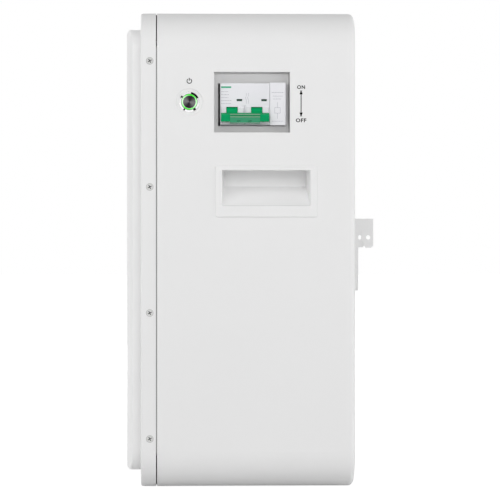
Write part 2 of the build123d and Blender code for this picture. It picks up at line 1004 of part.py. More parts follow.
def button_led_ring():
    front = button_seat() + bezel_height
    ring = rod("X", button_place(front - ring_depth), ring_outer - ring_play, ring_depth)
    ring -= rod("X", button_place(front - ring_depth - 1), ring_inner, ring_depth + 2)
    return fillet(end_edges(ring, Axis.X), ring_edge)


def button_cap():
    front = button_seat() + bezel_height
    cap = rod("X", button_place(front - cap_length), cap_radius, cap_length)
    return fillet(end_edges(cap, Axis.X), cap_edge)


def button_nut():
    inner = inner_side - dish_depth
    corner = nut_across_flats / 2 / math.cos(math.pi / 6)
    bore = barrel_radius + ring_play
    return hexagon("X", button_place(inner - nut_thickness), corner, nut_thickness, bore)


def button_switch():
    """The contact block in the barrel's rear, with its pins."""
    end = button_seat() - barrel_length
    switch = rod("X", button_place(end - switch_length), barrel_radius, switch_length)
    pin_x = end - switch_length - pin_length
    for index in range(pin_count):
        angle = 2 * math.pi * index / pin_count
        y = button_y + pin_circle * math.cos(angle)
        z = button_z + pin_circle * math.sin(angle)
        switch += rod("X", (pin_x, y, z), pin_radius, pin_length + sheet)
    stem = front_of_stem()
    switch += rod("X", button_place(end), cap_radius / 2, stem - end)
    return switch


def front_of_stem():
    """Where the switch's stem waits behind the cap, clear of its full travel."""
    return button_seat() + bezel_height - cap_length - button_travel - cap_play


# Recessed handles

def handle_right():
    outer = pocket_body(handle_wall)
    y_span = (handle_y, handle_y + handle_wide)
    frame = block((side_x, side_x + frame_proud), y_span, (handle_bottom, handle_top))
    frame = fillet(frame.edges().filter_by(Axis.X), frame_corner)
    frame = fillet(end_edges(frame, Axis.X), frame_edge)
    keep = block(
        (side_x - 2 * pocket_depth, side_x + frame_proud),
        (handle_y, handle_y + handle_wide),
        (0, height),
    )
    return frame + (outer & keep) - pocket_body(0)


def handle_left():
    return mirror(handle_right(), Plane.YZ)


# Left side: terminals, ground stud and communication sockets

def bushing(y):
    """An insulating bushing with a flange outside and a locked tail inside."""
    flange_x = -side_x - bushing_height
    body = rod("X", (flange_x, y, terminal_z), bushing_radius, bushing_height)
    body = fillet(end_edges(body, Axis.X, last=False), bushing_edge)
    tail = bushing_height + sheet + bushing_tail
    body += rod("X", (flange_x, y, terminal_z), bushing_neck_radius, tail)
    hole = (flange_x - 1, y, terminal_z)
    return body - rod("X", hole, stud_radius + stud_play, tail + 2)


def terminal_studs():
    """Studs with a relief groove where the outer nut's face comes."""
    start = -side_x - bushing_height - stud_out
    length = stud_out + bushing_height + sheet + bushing_tail + stud_in
    studs = []
    for y in terminal_y:
        stud = rod("X", (start, y, terminal_z), stud_radius, length)
        stud = chamfer(end_edges(stud, Axis.X, last=False), stud_chamfer)
        seat = (-side_x - bushing_height - terminal_nut, y, terminal_z)
        groove = rod("X", seat, 2 * stud_radius, stud_groove)
        studs.append(stud - (groove - rod("X", seat, stud_groove_radius, stud_groove)))
    return group(studs)


def terminal_nuts():
    """Nuts on the studs: one outside the bushing and one on its tail."""
    bore = stud_radius + stud_play
    outside = -side_x - bushing_height - terminal_nut
    inside = -side_x + sheet + bushing_tail
    return group(
        [
            hexagon("X", (x, y, terminal_z), terminal_nut_radius, terminal_nut, bore)
            for y in terminal_y
            for x in (outside, inside)
        ]
    )


def ground_stud():
    """A threaded stud with a washer on each side of the wall."""
    start = -side_x - ground_washer - ground_out
    length = ground_out + 2 * ground_washer + sheet + ground_in
    stud = rod("X", (start, ground_y, ground_z), ground_radius, length)
    stud = chamfer(end_edges(stud, Axis.X, last=False), ground_chamfer)
    for x in (-side_x - ground_washer, -inner_side):
        stud += rod("X", (x, ground_y, ground_z), ground_washer_radius, ground_washer)
    return stud


def comm_sockets():
    """Two eight-way sockets in one block, their latch notches upwards."""
    face = -side_x
    body = block(
        (face, face + socket_deep), around(socket_y, socket_wide), around(socket_z, socket_tall)
    )
    for side in (-1, 1):
        y = socket_y + side * port_pitch / 2
        body -= block((face - 1, face + port_deep), around(y, port_wide), around(socket_z, port_tall))
        latch_z = (socket_z, socket_z + port_tall / 2 + port_latch)
        body -= block((face - 1, face + port_deep), around(y, port_latch_wide), latch_z)
    return body


def comm_board():
    x = -side_x + socket_deep
    return block((x, x + board_thick), around(socket_y, board_wide), around(socket_z, board_tall))


def comm_spacers():
    """Posts between the left wall and the communication board."""
    start = -inner_side
    length = socket_deep - sheet
    posts = []
    for sy in (-1, 1):
        for sz in (-1, 1):
            y = socket_y + sy * (board_wide / 2 - spacer_from_edge)
            z = socket_z + sz * (board_tall / 2 - spacer_from_edge)
            posts.append(rod("X", (start, y, z), spacer_radius, length))
    return posts


# Cells and what holds them

def column_middle(column):
    offset = (cell_wide + column_gap) / 2
    return stack_middle + (offset if column else -offset)


def row_bottom(row):
    return stack_bottom + row * stack_pitch


def cell(column, row):
    """A prismatic cell lying on its broad face, its terminal pads to the front."""
    x = column_middle(column)
    z_span = (row_bottom(row), row_bottom(row) + cell_thick)
    body = block(around(x, cell_wide), (cell_front, cell_back), z_span)
    body = fillet(body.edges().filter_by(Axis.Y), cell_edge)
    for side in (-1, 1):
        body += block(
            around(x + side * pad_offset, pad_wide),
            (cell_front - pad_high, cell_front),
            around(sum(z_span) / 2, pad_tall),
        )
    vent = rod("Y", (x, cell_front - vent_high, sum(z_span) / 2), vent_radius, vent_high)
    return body + vent


def cell_sheets():
    """Insulating sheets between the cells of each stack."""
    sheets = []
    for column in (0, 1):
        for row in range(1, cell_rows):
            z = row_bottom(row)
            x_span = around(column_middle(column), cell_wide - 2 * sheet_short)
            y_span = (cell_front + sheet_short, cell_back - sheet_short)
            sheets.append(block(x_span, y_span, (z - sheet_between, z)))
    return sheets


def busbars():
    """Links that put the sixteen cells in series, up one stack and down the other."""
    y_span = (cell_front - pad_high - busbar, cell_front - pad_high)
    half = pad_wide / 2 - busbar_margin
    pad_half = pad_tall / 2 - busbar_margin / 2
    links = []
    for column in (0, 1):
        for row in range(cell_rows - 1):
            side = 1 if (row + column) % 2 else -1
            x = column_middle(column) + side * pad_offset
            low = row_bottom(row) + cell_thick / 2 - pad_half
            high = row_bottom(row + 1) + cell_thick / 2 + pad_half
            links.append(block((x - half, x + half), y_span, (low, high)))
    z_span = around(row_bottom(0) + cell_thick / 2, 2 * pad_half)
    links.append(
        block(
            (column_middle(0) + pad_offset - half, column_middle(1) - pad_offset + half),
            y_span,
            z_span,
        )
    )
    return group(links)


def end_plates():
    x_span = (stack_left, stack_right)
    y_span = (cell_front + plate_setback, cell_back)
    low = block(x_span, y_span, (stack_bottom - end_plate, stack_bottom))
    high = block(x_span, y_span, (stack_top, stack_top + end_plate))
    return group([low, high])


def steel_straps():
    """Flat straps up both sides of the stacks, folded over the upper end plate."""
    low = stack_bottom - end_plate
    high = stack_top + end_plate
    straps = []
    for place in (strap_first, strap_first + strap_pitch):
        y_span = around(cell_front + place, strap_wide)
        for edge, outward in ((stack_left, -1), (stack_right, 1)):
            outer = edge + outward * strap_thick
            strap = block((edge, outer), y_span, (low, high + strap_thick))
            strap += block((outer, edge - outward * strap_fold), y_span, (high, high + strap_thick))
            straps.append(strap)
    return group(straps)


def floor_rails():
    """Folded channels on the housing's floor that carry the stacks."""
    rails = []
    for side in (-1, 1):
        x = stack_middle + side * rail_under_x
        y_span = (lip_back + rail_under_start, cell_back)
        rail = block(around(x, rail_under_wide), y_span, (sheet, sheet + rail_under))
        inside = rail_under_wide - 2 * rail_under_sheet
        rail -= block(around(x, inside), y_span, (0, sheet + rail_under - rail_under_sheet))
        rails.append(rail)
    return group(rails)


def rear_insulation():
    x_span = (stack_left, stack_right)
    return block(x_span, (cell_back, cell_back + insulation), (stack_bottom, stack_top))


# Battery management board

def bms_span():
    return around(bms_x, bms_wide), (bms_top - bms_tall, bms_top)


def bms_corners():
    (x0, x1), (z0, z1) = bms_span()
    x_places = (x0 + bms_margin, x1 - bms_margin)
    return [(x, z) for x in x_places for z in (z0 + bms_margin, z1 - bms_margin)]


def bms_plate_y():
    back = body_depth - sheet - bms_spacer
    return (back - bms_plate, back)


def bms_heat_spreader():
    x_span, z_span = bms_span()
    return block(x_span, bms_plate_y(), z_span)


def bms_spacers():
    """Posts from the housing's back to the plate, and from the plate to the board."""
    front, back = bms_plate_y()
    posts = []
    for x, z in bms_corners():
        posts.append(rod("Y", (x, back, z), spacer_radius, bms_spacer))
        posts.append(rod("Y", (x, front - bms_board_gap, z), spacer_radius, bms_board_gap))
    return posts


def bms_board():
    """The board with its row of power transistors."""
    x_span, z_span = bms_span()
    front = bms_plate_y()[0] - bms_board_gap
    board = block(x_span, (front - board_thick, front), z_span)
    pitch = (bms_wide - 4 * bms_margin) / chips_in_row
    for row in range(chip_rows):
        z = z_span[0] + bms_tall * (row + 1) / (chip_rows + 1)
        for index in range(chips_in_row):
            x = x_span[0] + 2 * bms_margin + pitch * (index + 0.5)
            y_span = (front - board_thick - chip_high, front - board_thick)
            board += block(around(x, chip_wide), y_span, around(z, chip_tall))
    return board


# Power leads: tubes of straight runs and arcs, with a flat lug where they end on a stud

def tube(points):
    path = FilletPolyline(*points, radius=lead_bend)
    start = Plane(origin=path @ 0, z_dir=path % 0)
    return sweep(start * Circle(lead_radius), path=path)


def breaker_port(start, wide, up):
    """A point on the axis of a block's upper or lower cable hole, just inside it."""
    reach = breaker_tall / 2 - cable_hole_depth * 0.7
    return Vector(rail_x + cheek_depth / 2, start + wide / 2, nose_z + (reach if up else -reach))


def outgoing_lead(start, y):
    """From the top of a pole, under the housing's roof, down to a terminal stud."""
    port = breaker_port(start, pole_width, True)
    lug_x = -side_x + sheet + bushing_tail + terminal_nut
    run_z = height - lead_below_top
    x = lug_x + lead_radius
    end_z = terminal_z + stud_radius + lead_radius
    lead = tube([port, (port.X, port.Y, run_z), (x, y, run_z), (x, y, end_z)])
    lug_z = (terminal_z - lug_wide / 2, end_z + lug_wide)
    lug = block((lug_x, lug_x + lug_thick), around(y, lug_wide), lug_z)
    return lead + lug - rod("X", (lug_x - 1, y, terminal_z), stud_radius + stud_play, 3 * lug_thick)


def pack_output(column):
    """The free pad at the top of a stack: the middle of its front face."""
    side = -1 if column else 1
    x = column_middle(column) + side * pad_offset
    return Vector(x, cell_front - pad_high, row_bottom(cell_rows - 1) + cell_thick / 2)


def pad_lug(column):
    pad = pack_output(column)
    low = pad.Z - pad_tall / 2 + busbar_margin / 2
    x_span = around(pad.X, pad_wide - 2 * busbar_margin)
    return block(x_span, (pad.Y - lug_thick, pad.Y), (low, low + 3 * pad_tall / 2))


def positive_pack_lead():
    """From the right stack up and across to the lower end of the second pole."""
    pad = pack_output(1)
    port = breaker_port(breaker_y + pole_width, pole_width, False)
    y = pad.Y - lead_radius
    run_z = stack_top + end_plate + lead_lift
    points = [(pad.X, y, pad.Z + 3), (pad.X, y, run_z), (port.X, port.Y, run_z), port]
    return tube(points) + pad_lug(1)


def negative_pack_lead():
    """From the left stack up and back to the management board."""
    pad = pack_output(0)
    y = pad.Y - lead_radius
    run_z = stack_top + end_plate + lead_lift
    board_y = bms_plate_y()[0] - bms_board_gap - board_thick - lead_radius
    x = bms_x - bms_wide / 2 + 4 * bms_margin
    end_z = bms_top - bms_tall + 2 * bms_margin
    points = [(pad.X, y, pad.Z + 3), (pad.X, y, run_z), (x, board_y, run_z), (x, board_y, end_z)]
    return tube(points) + pad_lug(0)


def board_lead():
    """From the management board to the lower end of the first pole."""
    port = breaker_port(breaker_y, pole_width, False)
    board_y = bms_plate_y()[0] - bms_board_gap - board_thick - lead_radius
    x = bms_x + bms_wide / 2 - 2 * bms_margin
    end_z = bms_top - bms_tall + 2 * bms_margin
    run_z = stack_top + end_plate + lead_lift + 3 * lead_radius
    return tube([(x, board_y, end_z), (x, board_y, run_z), (port.X, port.Y, run_z), port])


def power_leads():
    first, second = pole_starts()
    return group(
        [
            outgoing_lead(first, terminal_y[0]),
            outgoing_lead(second, terminal_y[1]),
            positive_pack_lead(),
            negative_pack_lead(),
            board_lead(),
        ]
    )


def pieces():
    """Every node's name and shape."""
    found = {
        "main_housing": main_housing(),
        "mounting_lips": mounting_lips(),
        "front_cover": front_cover(),
        "front_panel": front_panel(),
        "cover_screws": cover_screws(),
        "front_panel_screws": front_panel_screws(),
        "hook_bracket": hook_bracket(),
        "hook_screws": hook_screws(),
        "window_tray": window_tray(),
        "breaker_bracket": breaker_bracket(),
        "mounting_rail": din_rail(),
        "shunt_trip": shunt_trip(),
        "toggle_levers": group([toggle_lever(start) for start in pole_starts()]),
        "toggle_tie_bar": toggle_tie_bar(),
        "tie_bar_sleeve": tie_bar_sleeve(),
        "contact_flags": contact_flags(),
        "button_body": button_body(),
        "button_led_ring": button_led_ring(),
        "button_cap": button_cap(),
        "button_nut": button_nut(),
        "button_switch": button_switch(),
        "handle_right": handle_right(),
        "handle_left": handle_left(),
        "negative_bushing": bushing(terminal_y[0]),
        "positive_bushing": bushing(terminal_y[1]),
        "terminal_studs": terminal_studs(),
        "terminal_nuts": terminal_nuts(),
        "ground_stud": ground_stud(),
        "comm_sockets": comm_sockets(),
        "comm_board": comm_board(),
        "board_spacers": group(comm_spacers() + bms_spacers()),
        "insulation_sheets": group(cell_sheets() + [rear_insulation()]),
        "power_leads": power_leads(),
        "busbars": busbars(),
        "end_plates": end_plates(),
        "steel_straps": steel_straps(),
        "floor_rails": floor_rails(),
        "bms_heat_spreader": bms_heat_spreader(),
        "bms_board": bms_board(),
    }
    for index, start in enumerate(pole_starts()):
        found[f"breaker_pole_{index + 1}"] = breaker_pole(start)
        found[f"rail_clip_{index + 1}"] = clip(start, pole_width)
    found["rail_clip_3"] = clip(breaker_y + 2 * pole_width, trip_width)
    for column in (0, 1):
        for row in range(cell_rows):
            found[f"cell_{column * cell_rows + row + 1:02d}"] = cell(column, row)
    return found


os.makedirs("parts", exist_ok=True)
for name, shape in pieces().items():
    export_step(Pos(-x_centre, -y_centre, 0) * shape, f"parts/{name}.step")
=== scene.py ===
import json
import math
import random

import bpy
from mathutils import Matrix, Vector


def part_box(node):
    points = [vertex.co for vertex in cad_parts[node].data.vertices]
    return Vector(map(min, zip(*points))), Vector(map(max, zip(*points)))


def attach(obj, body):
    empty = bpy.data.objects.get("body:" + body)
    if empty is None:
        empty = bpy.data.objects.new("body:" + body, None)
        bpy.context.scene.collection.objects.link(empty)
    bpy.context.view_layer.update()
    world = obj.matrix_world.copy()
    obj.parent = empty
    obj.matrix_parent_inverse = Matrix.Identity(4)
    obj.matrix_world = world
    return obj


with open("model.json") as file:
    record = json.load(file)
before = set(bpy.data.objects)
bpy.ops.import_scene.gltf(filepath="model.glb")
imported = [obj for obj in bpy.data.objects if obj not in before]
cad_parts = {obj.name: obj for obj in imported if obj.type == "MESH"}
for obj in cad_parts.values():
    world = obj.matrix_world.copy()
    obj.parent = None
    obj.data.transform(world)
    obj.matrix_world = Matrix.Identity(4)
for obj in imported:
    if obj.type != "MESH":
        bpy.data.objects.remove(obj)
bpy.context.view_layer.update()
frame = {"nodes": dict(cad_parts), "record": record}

nodes = frame["nodes"]
MM = 0.001


def span(node):
    """A node's lowest and highest corners at rest, in millimetres."""
    return [[value / MM for value in corner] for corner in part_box(node)]


def middle(node):
    """The middle of a node's box at rest, in millimetres."""
    low, high = span(node)
    return [(a + b) / 2 for a, b in zip(low, high)]


# Places on the battery, in millimetres in the shared frame
LEFT_X, SIDE_X = (corner[0] for corner in span("main_housing"))
TRIP_PROUD = 1.2
TRIP_X = span("shunt_trip")[1][0]
NOSE_X = TRIP_X - TRIP_PROUD
NOSE_Z = middle("breaker_pole_1")[2]
BUTTON = middle("button_cap")[1:]
JOINTS = {joint["name"]: joint for joint in frame["record"]["behaviour"]["joints"]}
PIVOT = [JOINTS["breaker_toggle"]["pos_m"][axis] / MM for axis in (0, 2)]

# How far the toggle leans at OFF, in degrees
OFF_ANGLE = 22.0

# Thickness of ink and of the film label
INK_THICK = 0.04
LABEL_THICK = 0.12
LABEL_X = NOSE_X + LABEL_THICK


# Camera, floor and light

CAMERA_PLACE = (2.92, -0.092, 0.274)
CAMERA_AIM = (0.2214, -0.0055, 0.26)
CAMERA_LENS = 178.87

# The world: its light, and the dark cards' direction, reach and fade in degrees
WORLD_STRENGTH = 0.30
PLAIN_WHITE = (1.0, 1.0, 1.0, 1.0)
CARD_BLACK = (0.02, 0.02, 0.02, 1.0)
LARGE_CARD = ((0.12, 0.6, 0.78), 17.0, 5.0)
SMALL_CARD = ((0.1, -0.87, 0.5), 6.0, 4.0)

# The floor: its colours, and a distance from its middle with the glow there
FLOOR_SIZE = 30.0
FLOOR_WHITE = (0.8, 0.8, 0.8, 1.0)
FLOOR_SEEN = (0.3, 0.3, 0.3, 1.0)
GLOW_NEAR = (0.35, 0.86)
GLOW_FAR = (1.1, 1.0)

LAMP_SIZE = (2.4, 1.4)
SMALL_LAMP_SIZE = (1.4, 1.0)


def make_camera():
    """The view square to the right side, from well back and a little to its front."""
    data = bpy.data.cameras.new("view_camera")
    data.lens = CAMERA_LENS
    data.sensor_width = 36.0
    camera = bpy.data.objects.new("view_camera", data)
    bpy.context.scene.collection.objects.link(camera)
    camera.location = CAMERA_PLACE
    aim = Vector(CAMERA_AIM) - camera.location
    camera.rotation_euler = aim.to_track_quat("-Z", "Y").to_euler()
    bpy.context.scene.camera = camera


def seen_ray(tree):
    """1 for rays from the camera, in a mirror or through glass, and 0 for light."""
    path = tree.nodes.new("ShaderNodeLightPath")
    first = tree.nodes.new("ShaderNodeMath")
    first.operation = "MAXIMUM"
    second = tree.nodes.new("ShaderNodeMath")
    second.operation = "MAXIMUM"
    tree.links.new(path.outputs["Is Camera Ray"], first.inputs[0])
    tree.links.new(path.outputs["Is Glossy Ray"], first.inputs[1])
    tree.links.new(first.outputs[0], second.inputs[0])
    tree.links.new(path.outputs["Is Transmission Ray"], second.inputs[1])
    return second.outputs[0]


def dark_card(tree, direction, reach, fade):
    """1 inside a round dark card far off in that direction, 0 outside; angles in degrees."""
    place = tree.nodes.new("ShaderNodeTexCoord").outputs["Generated"]
    dot = tree.nodes.new("ShaderNodeVectorMath")
    dot.operation = "DOT_PRODUCT"
    tree.links.new(place, dot.inputs[0])
    dot.inputs[1].default_value = Vector(direction).normalized()
    edge = tree.nodes.new("ShaderNodeMapRange")
    edge.inputs["From Min"].default_value = math.cos(math.radians(reach + fade))
    edge.inputs["From Max"].default_value = math.cos(math.radians(reach))
    tree.links.new(dot.outputs["Value"], edge.inputs["Value"])
    return edge.outputs[0]


def make_world():
    """White to the eye and in mirrors, where two dark cards give chrome its contrast."""
    world = bpy.data.worlds.new("studio")
    bpy.context.scene.world = world
    world.use_nodes = True
    tree = world.node_tree
    tree.nodes.clear()
    out = tree.nodes.new("ShaderNodeOutputWorld")
    mix = tree.nodes.new("ShaderNodeMixShader")
    soft = tree.nodes.new("ShaderNodeBackground")
    soft.inputs["Color"].default_value = PLAIN_WHITE
    soft.inputs["Strength"].default_value = WORLD_STRENGTH
    white = tree.nodes.new("ShaderNodeBackground")
    cards = tree.nodes.new("ShaderNodeMath")
    cards.operation = "MAXIMUM"
    tree.links.new(dark_card(tree, *LARGE_CARD), cards.inputs[0])
    tree.links.new(dark_card(tree, *SMALL_CARD), cards.inputs[1])
    mirrored = tree.nodes.new("ShaderNodeMath")
    mirrored.operation = "MULTIPLY"
    tree.links.new(cards.outputs[0], mirrored.inputs[0])
    path = tree.nodes.new("ShaderNodeLightPath")
    tree.links.new(path.outputs["Is Glossy Ray"], mirrored.inputs[1])
    tint = tree.nodes.new("ShaderNodeMix")
    tint.data_type = "RGBA"
    tree.links.new(mirrored.outputs[0], tint.inputs[0])
    tint.inputs[6].default_value = PLAIN_WHITE
    tint.inputs[7].default_value = CARD_BLACK
    tree.links.new(tint.outputs[2], white.inputs["Color"])
    white.inputs["Strength"].default_value = 1.0
    tree.links.new(seen_ray(tree), mix.inputs[0])
    tree.links.new(soft.outputs[0], mix.inputs[1])
    tree.links.new(white.outputs[0], mix.inputs[2])
    tree.links.new(mix.outputs[0], out.inputs["Surface"])


def make_floor():
    """A wide pale floor that keeps a soft shadow and is plain white further off."""
    bpy.ops.mesh.primitive_plane_add(size=FLOOR_SIZE, location=(0, 0, 0))
    floor = bpy.context.object
    floor.name = "studio_floor"
    material = bpy.data.materials.new("floor_white")
    material.use_nodes = True
    tree = material.node_tree
    tree.nodes.clear()
    out = tree.nodes.new("ShaderNodeOutputMaterial")
    mix = tree.nodes.new("ShaderNodeMixShader")
    plain = tree.nodes.new("ShaderNodeBsdfDiffuse")
    plain.inputs["Color"].default_value = FLOOR_WHITE
    seen = tree.nodes.new("ShaderNodeAddShader")
    thin = tree.nodes.new("ShaderNodeBsdfDiffuse")
    thin.inputs["Color"].default_value = FLOOR_SEEN
    glow = tree.nodes.new("ShaderNodeEmission")
    place = tree.nodes.new("ShaderNodeTexCoord").outputs["Object"]
    reach = tree.nodes.new("ShaderNodeVectorMath")
    reach.operation = "LENGTH"
    tree.links.new(place, reach.inputs[0])
    fade = tree.nodes.new("ShaderNodeMapRange")
    fade.inputs["From Min"].default_value = GLOW_NEAR[0]
    fade.inputs["From Max"].default_value = GLOW_FAR[0]
    fade.inputs["To Min"].default_value = GLOW_NEAR[1]
    fade.inputs["To Max"].default_value = GLOW_FAR[1]
    tree.links.new(reach.outputs["Value"], fade.inputs["Value"])
    tree.links.new(fade.outputs[0], glow.inputs["Strength"])
    tree.links.new(thin.outputs[0], seen.inputs[0])
    tree.links.new(glow.outputs[0], seen.inputs[1])
    tree.links.new(seen_ray(tree), mix.inputs[0])
    tree.links.new(plain.outputs[0], mix.inputs[1])
    tree.links.new(seen.outputs[0], mix.inputs[2])
    tree.links.new(mix.outputs[0], out.inputs["Surface"])
    floor.data.materials.append(material)


def soft_lamp(name, place, size, power, aim=(0.0, 0.0, 0.26)):
    """A large soft box that lights the surfaces and isn't seen in them."""
    data = bpy.data.lights.new(name, "AREA")
    data.shape = "RECTANGLE"
    data.size = size[0]
    data.size_y = size[1]
    data.energy = power
    lamp = bpy.data.objects.new(name, data)
    bpy.context.scene.collection.objects.link(lamp)
    lamp.visible_glossy = False
    lamp.location = place
    lamp.rotation_euler = (Vector(aim) - Vector(place)).to_track_quat("-Z", "Y").to_euler()


bpy.context.scene.view_settings.view_transform = "Standard"

make_camera()
make_world()
make_floor()
soft_lamp("side_light", (3.3, 0.2, 1.25), LAMP_SIZE, 38.0)
soft_lamp("high_light", (2.7, -1.7, 1.9), SMALL_LAMP_SIZE, 24.0, (0.22, 0.0, 0.3))
soft_lamp("front_light", (-0.6, -3.2, 0.8), LAMP_SIZE, 33.0)
soft_lamp("back_light", (0.6, 3.2, 0.8), LAMP_SIZE, 38.0)
soft_lamp("left_light", (-3.2, 0.5, 1.1), LAMP_SIZE, 52.0)


# Shader groups: each gives colour, roughness and height that change over the surface

def new_group(name, inputs, outputs):
    """An empty shader group with named inputs and outputs."""
    tree = bpy.data.node_groups.new(name, "ShaderNodeTree")
    for label, kind, value in inputs:
        socket = tree.interface.new_socket(label, in_out="INPUT", socket_type=kind)
        socket.default_value = value
    for label, kind in outputs:
        tree.interface.new_socket(label, in_out="OUTPUT", socket_type=kind)
    return tree, tree.nodes.new("NodeGroupInput"), tree.nodes.new("NodeGroupOutput")


FLOAT = "NodeSocketFloat"
COLOUR = "NodeSocketColor"
VECTOR = "NodeSocketVector"


def math_node(tree, operation, first, second=None):
    node = tree.nodes.new("ShaderNodeMath")
    node.operation = operation
    for index, value in enumerate((first, second)):
        if value is None:
            continue
        if isinstance(value, (int, float)):
            node.inputs[index].default_value = value
        else:
            tree.links.new(value, node.inputs[index])
    return node.outputs[0]


def span_node(tree, value, low, high):
    """0 to 1 turned into low to high; the ends may be sockets."""
    node = tree.nodes.new("ShaderNodeMapRange")
    tree.links.new(value, node.inputs["Value"])
    for label, end in (("To Min", low), ("To Max", high)):
        if isinstance(end, (int, float)):
            node.inputs[label].default_value = end
        else:
            tree.links.new(end, node.inputs[label])
    return node.outputs[0]


def noise_node(tree, vector, scale, detail=2.0, rough=0.5):
    node = tree.nodes.new("ShaderNodeTexNoise")
    tree.links.new(vector, node.inputs["Vector"])
    node.inputs["Detail"].default_value = detail
    node.inputs["Roughness"].default_value = rough
    if isinstance(scale, (int, float)):
        node.inputs["Scale"].default_value = scale
    else:
        tree.links.new(scale, node.inputs["Scale"])
    return node.outputs["Fac"]


def mix_colour(tree, share, first, second, blend="MIX"):
    node = tree.nodes.new("ShaderNodeMix")
    node.data_type = "RGBA"
    node.blend_type = blend
    for socket, value in ((node.inputs[0], share), (node.inputs[6], first), (node.inputs[7], second)):
        if isinstance(value, (int, float, tuple)):
            socket.default_value = value
        else:
            tree.links.new(value, socket)
    return node.outputs[2]


def grain_group():
    """Powder coat and moulded plastic: fine grain, slow changes of tone, a few specks."""
    tree, given, out = new_group(
        "surface_grain",
        [
            ("Colour", COLOUR, (0.8, 0.8, 0.8, 1.0)),
            ("Scale", FLOAT, 900.0),
            ("Tone", FLOAT, 0.03),
            ("Roughness", FLOAT, 0.5),
            ("Rough Change", FLOAT, 0.06),
        ],
        [("Colour", COLOUR), ("Roughness", FLOAT), ("Height", FLOAT)],
    )
    place = tree.nodes.new("ShaderNodeTexCoord").outputs["Object"]
    fine = noise_node(tree, place, given.outputs["Scale"], 3.0, 0.6)
    slow = noise_node(tree, place, 9.0, 2.0)
    speck = noise_node(tree, place, 2600.0, 1.0)
    dark = math_node(tree, "SUBTRACT", 1.0, given.outputs["Tone"])
    shade = span_node(tree, slow, dark, 1.0)
    tint = tree.nodes.new("ShaderNodeCombineColor")
    for index in range(3):
        tree.links.new(shade, tint.inputs[index])
    toned = mix_colour(tree, 1.0, given.outputs["Colour"], tint.outputs[0], "MULTIPLY")
    spots = math_node(tree, "GREATER_THAN", speck, 0.74)
    faint = math_node(tree, "MULTIPLY", spots, math_node(tree, "MULTIPLY", given.outputs["Tone"], 2.0))
    final = mix_colour(tree, faint, toned, (0.2, 0.2, 0.2, 1.0))
    tree.links.new(final, out.inputs["Colour"])
    low = math_node(tree, "SUBTRACT", given.outputs["Roughness"], given.outputs["Rough Change"])
    high = math_node(tree, "ADD", given.outputs["Roughness"], given.outputs["Rough Change"])
    tree.links.new(span_node(tree, fine, low, high), out.inputs["Roughness"])
    tree.links.new(fine, out.inputs["Height"])
    return tree


def drawn_group():
    """Rolled or brushed metal: fine streaks along one axis over soft clouds."""
    tree, given, out = new_group(
        "drawn_metal",
        [
            ("Colour", COLOUR, (0.7, 0.7, 0.7, 1.0)),
            ("Stretch", VECTOR, (20.0, 1200.0, 1200.0)),
            ("Tone", FLOAT, 0.12),
            ("Roughness", FLOAT, 0.35),
            ("Rough Change", FLOAT, 0.1),
        ],
        [("Colour", COLOUR), ("Roughness", FLOAT), ("Height", FLOAT)],
    )
    place = tree.nodes.new("ShaderNodeTexCoord").outputs["Object"]
    stretch = tree.nodes.new("ShaderNodeVectorMath")
    stretch.operation = "MULTIPLY"
    tree.links.new(place, stretch.inputs[0])
    tree.links.new(given.outputs["Stretch"], stretch.inputs[1])
    streak = noise_node(tree, stretch.outputs[0], 1.0, 4.0, 0.65)
    cloud = noise_node(tree, place, 40.0, 2.0)
    both = math_node(tree, "MULTIPLY", math_node(tree, "ADD", streak, cloud), 0.5)
    shade = span_node(tree, both, math_node(tree, "SUBTRACT", 1.0, given.outputs["Tone"]), 1.0)
    tint = tree.nodes.new("ShaderNodeCombineColor")
    for index in range(3):
        tree.links.new(shade, tint.inputs[index])
    final = mix_colour(tree, 1.0, given.outputs["Colour"], tint.outputs[0], "MULTIPLY")
    tree.links.new(final, out.inputs["Colour"])
    low = math_node(tree, "SUBTRACT", given.outputs["Roughness"], given.outputs["Rough Change"])
    high = math_node(tree, "ADD", given.outputs["Roughness"], given.outputs["Rough Change"])
    tree.links.new(span_node(tree, streak, low, high), out.inputs["Roughness"])
    tree.links.new(streak, out.inputs["Height"])
    return tree


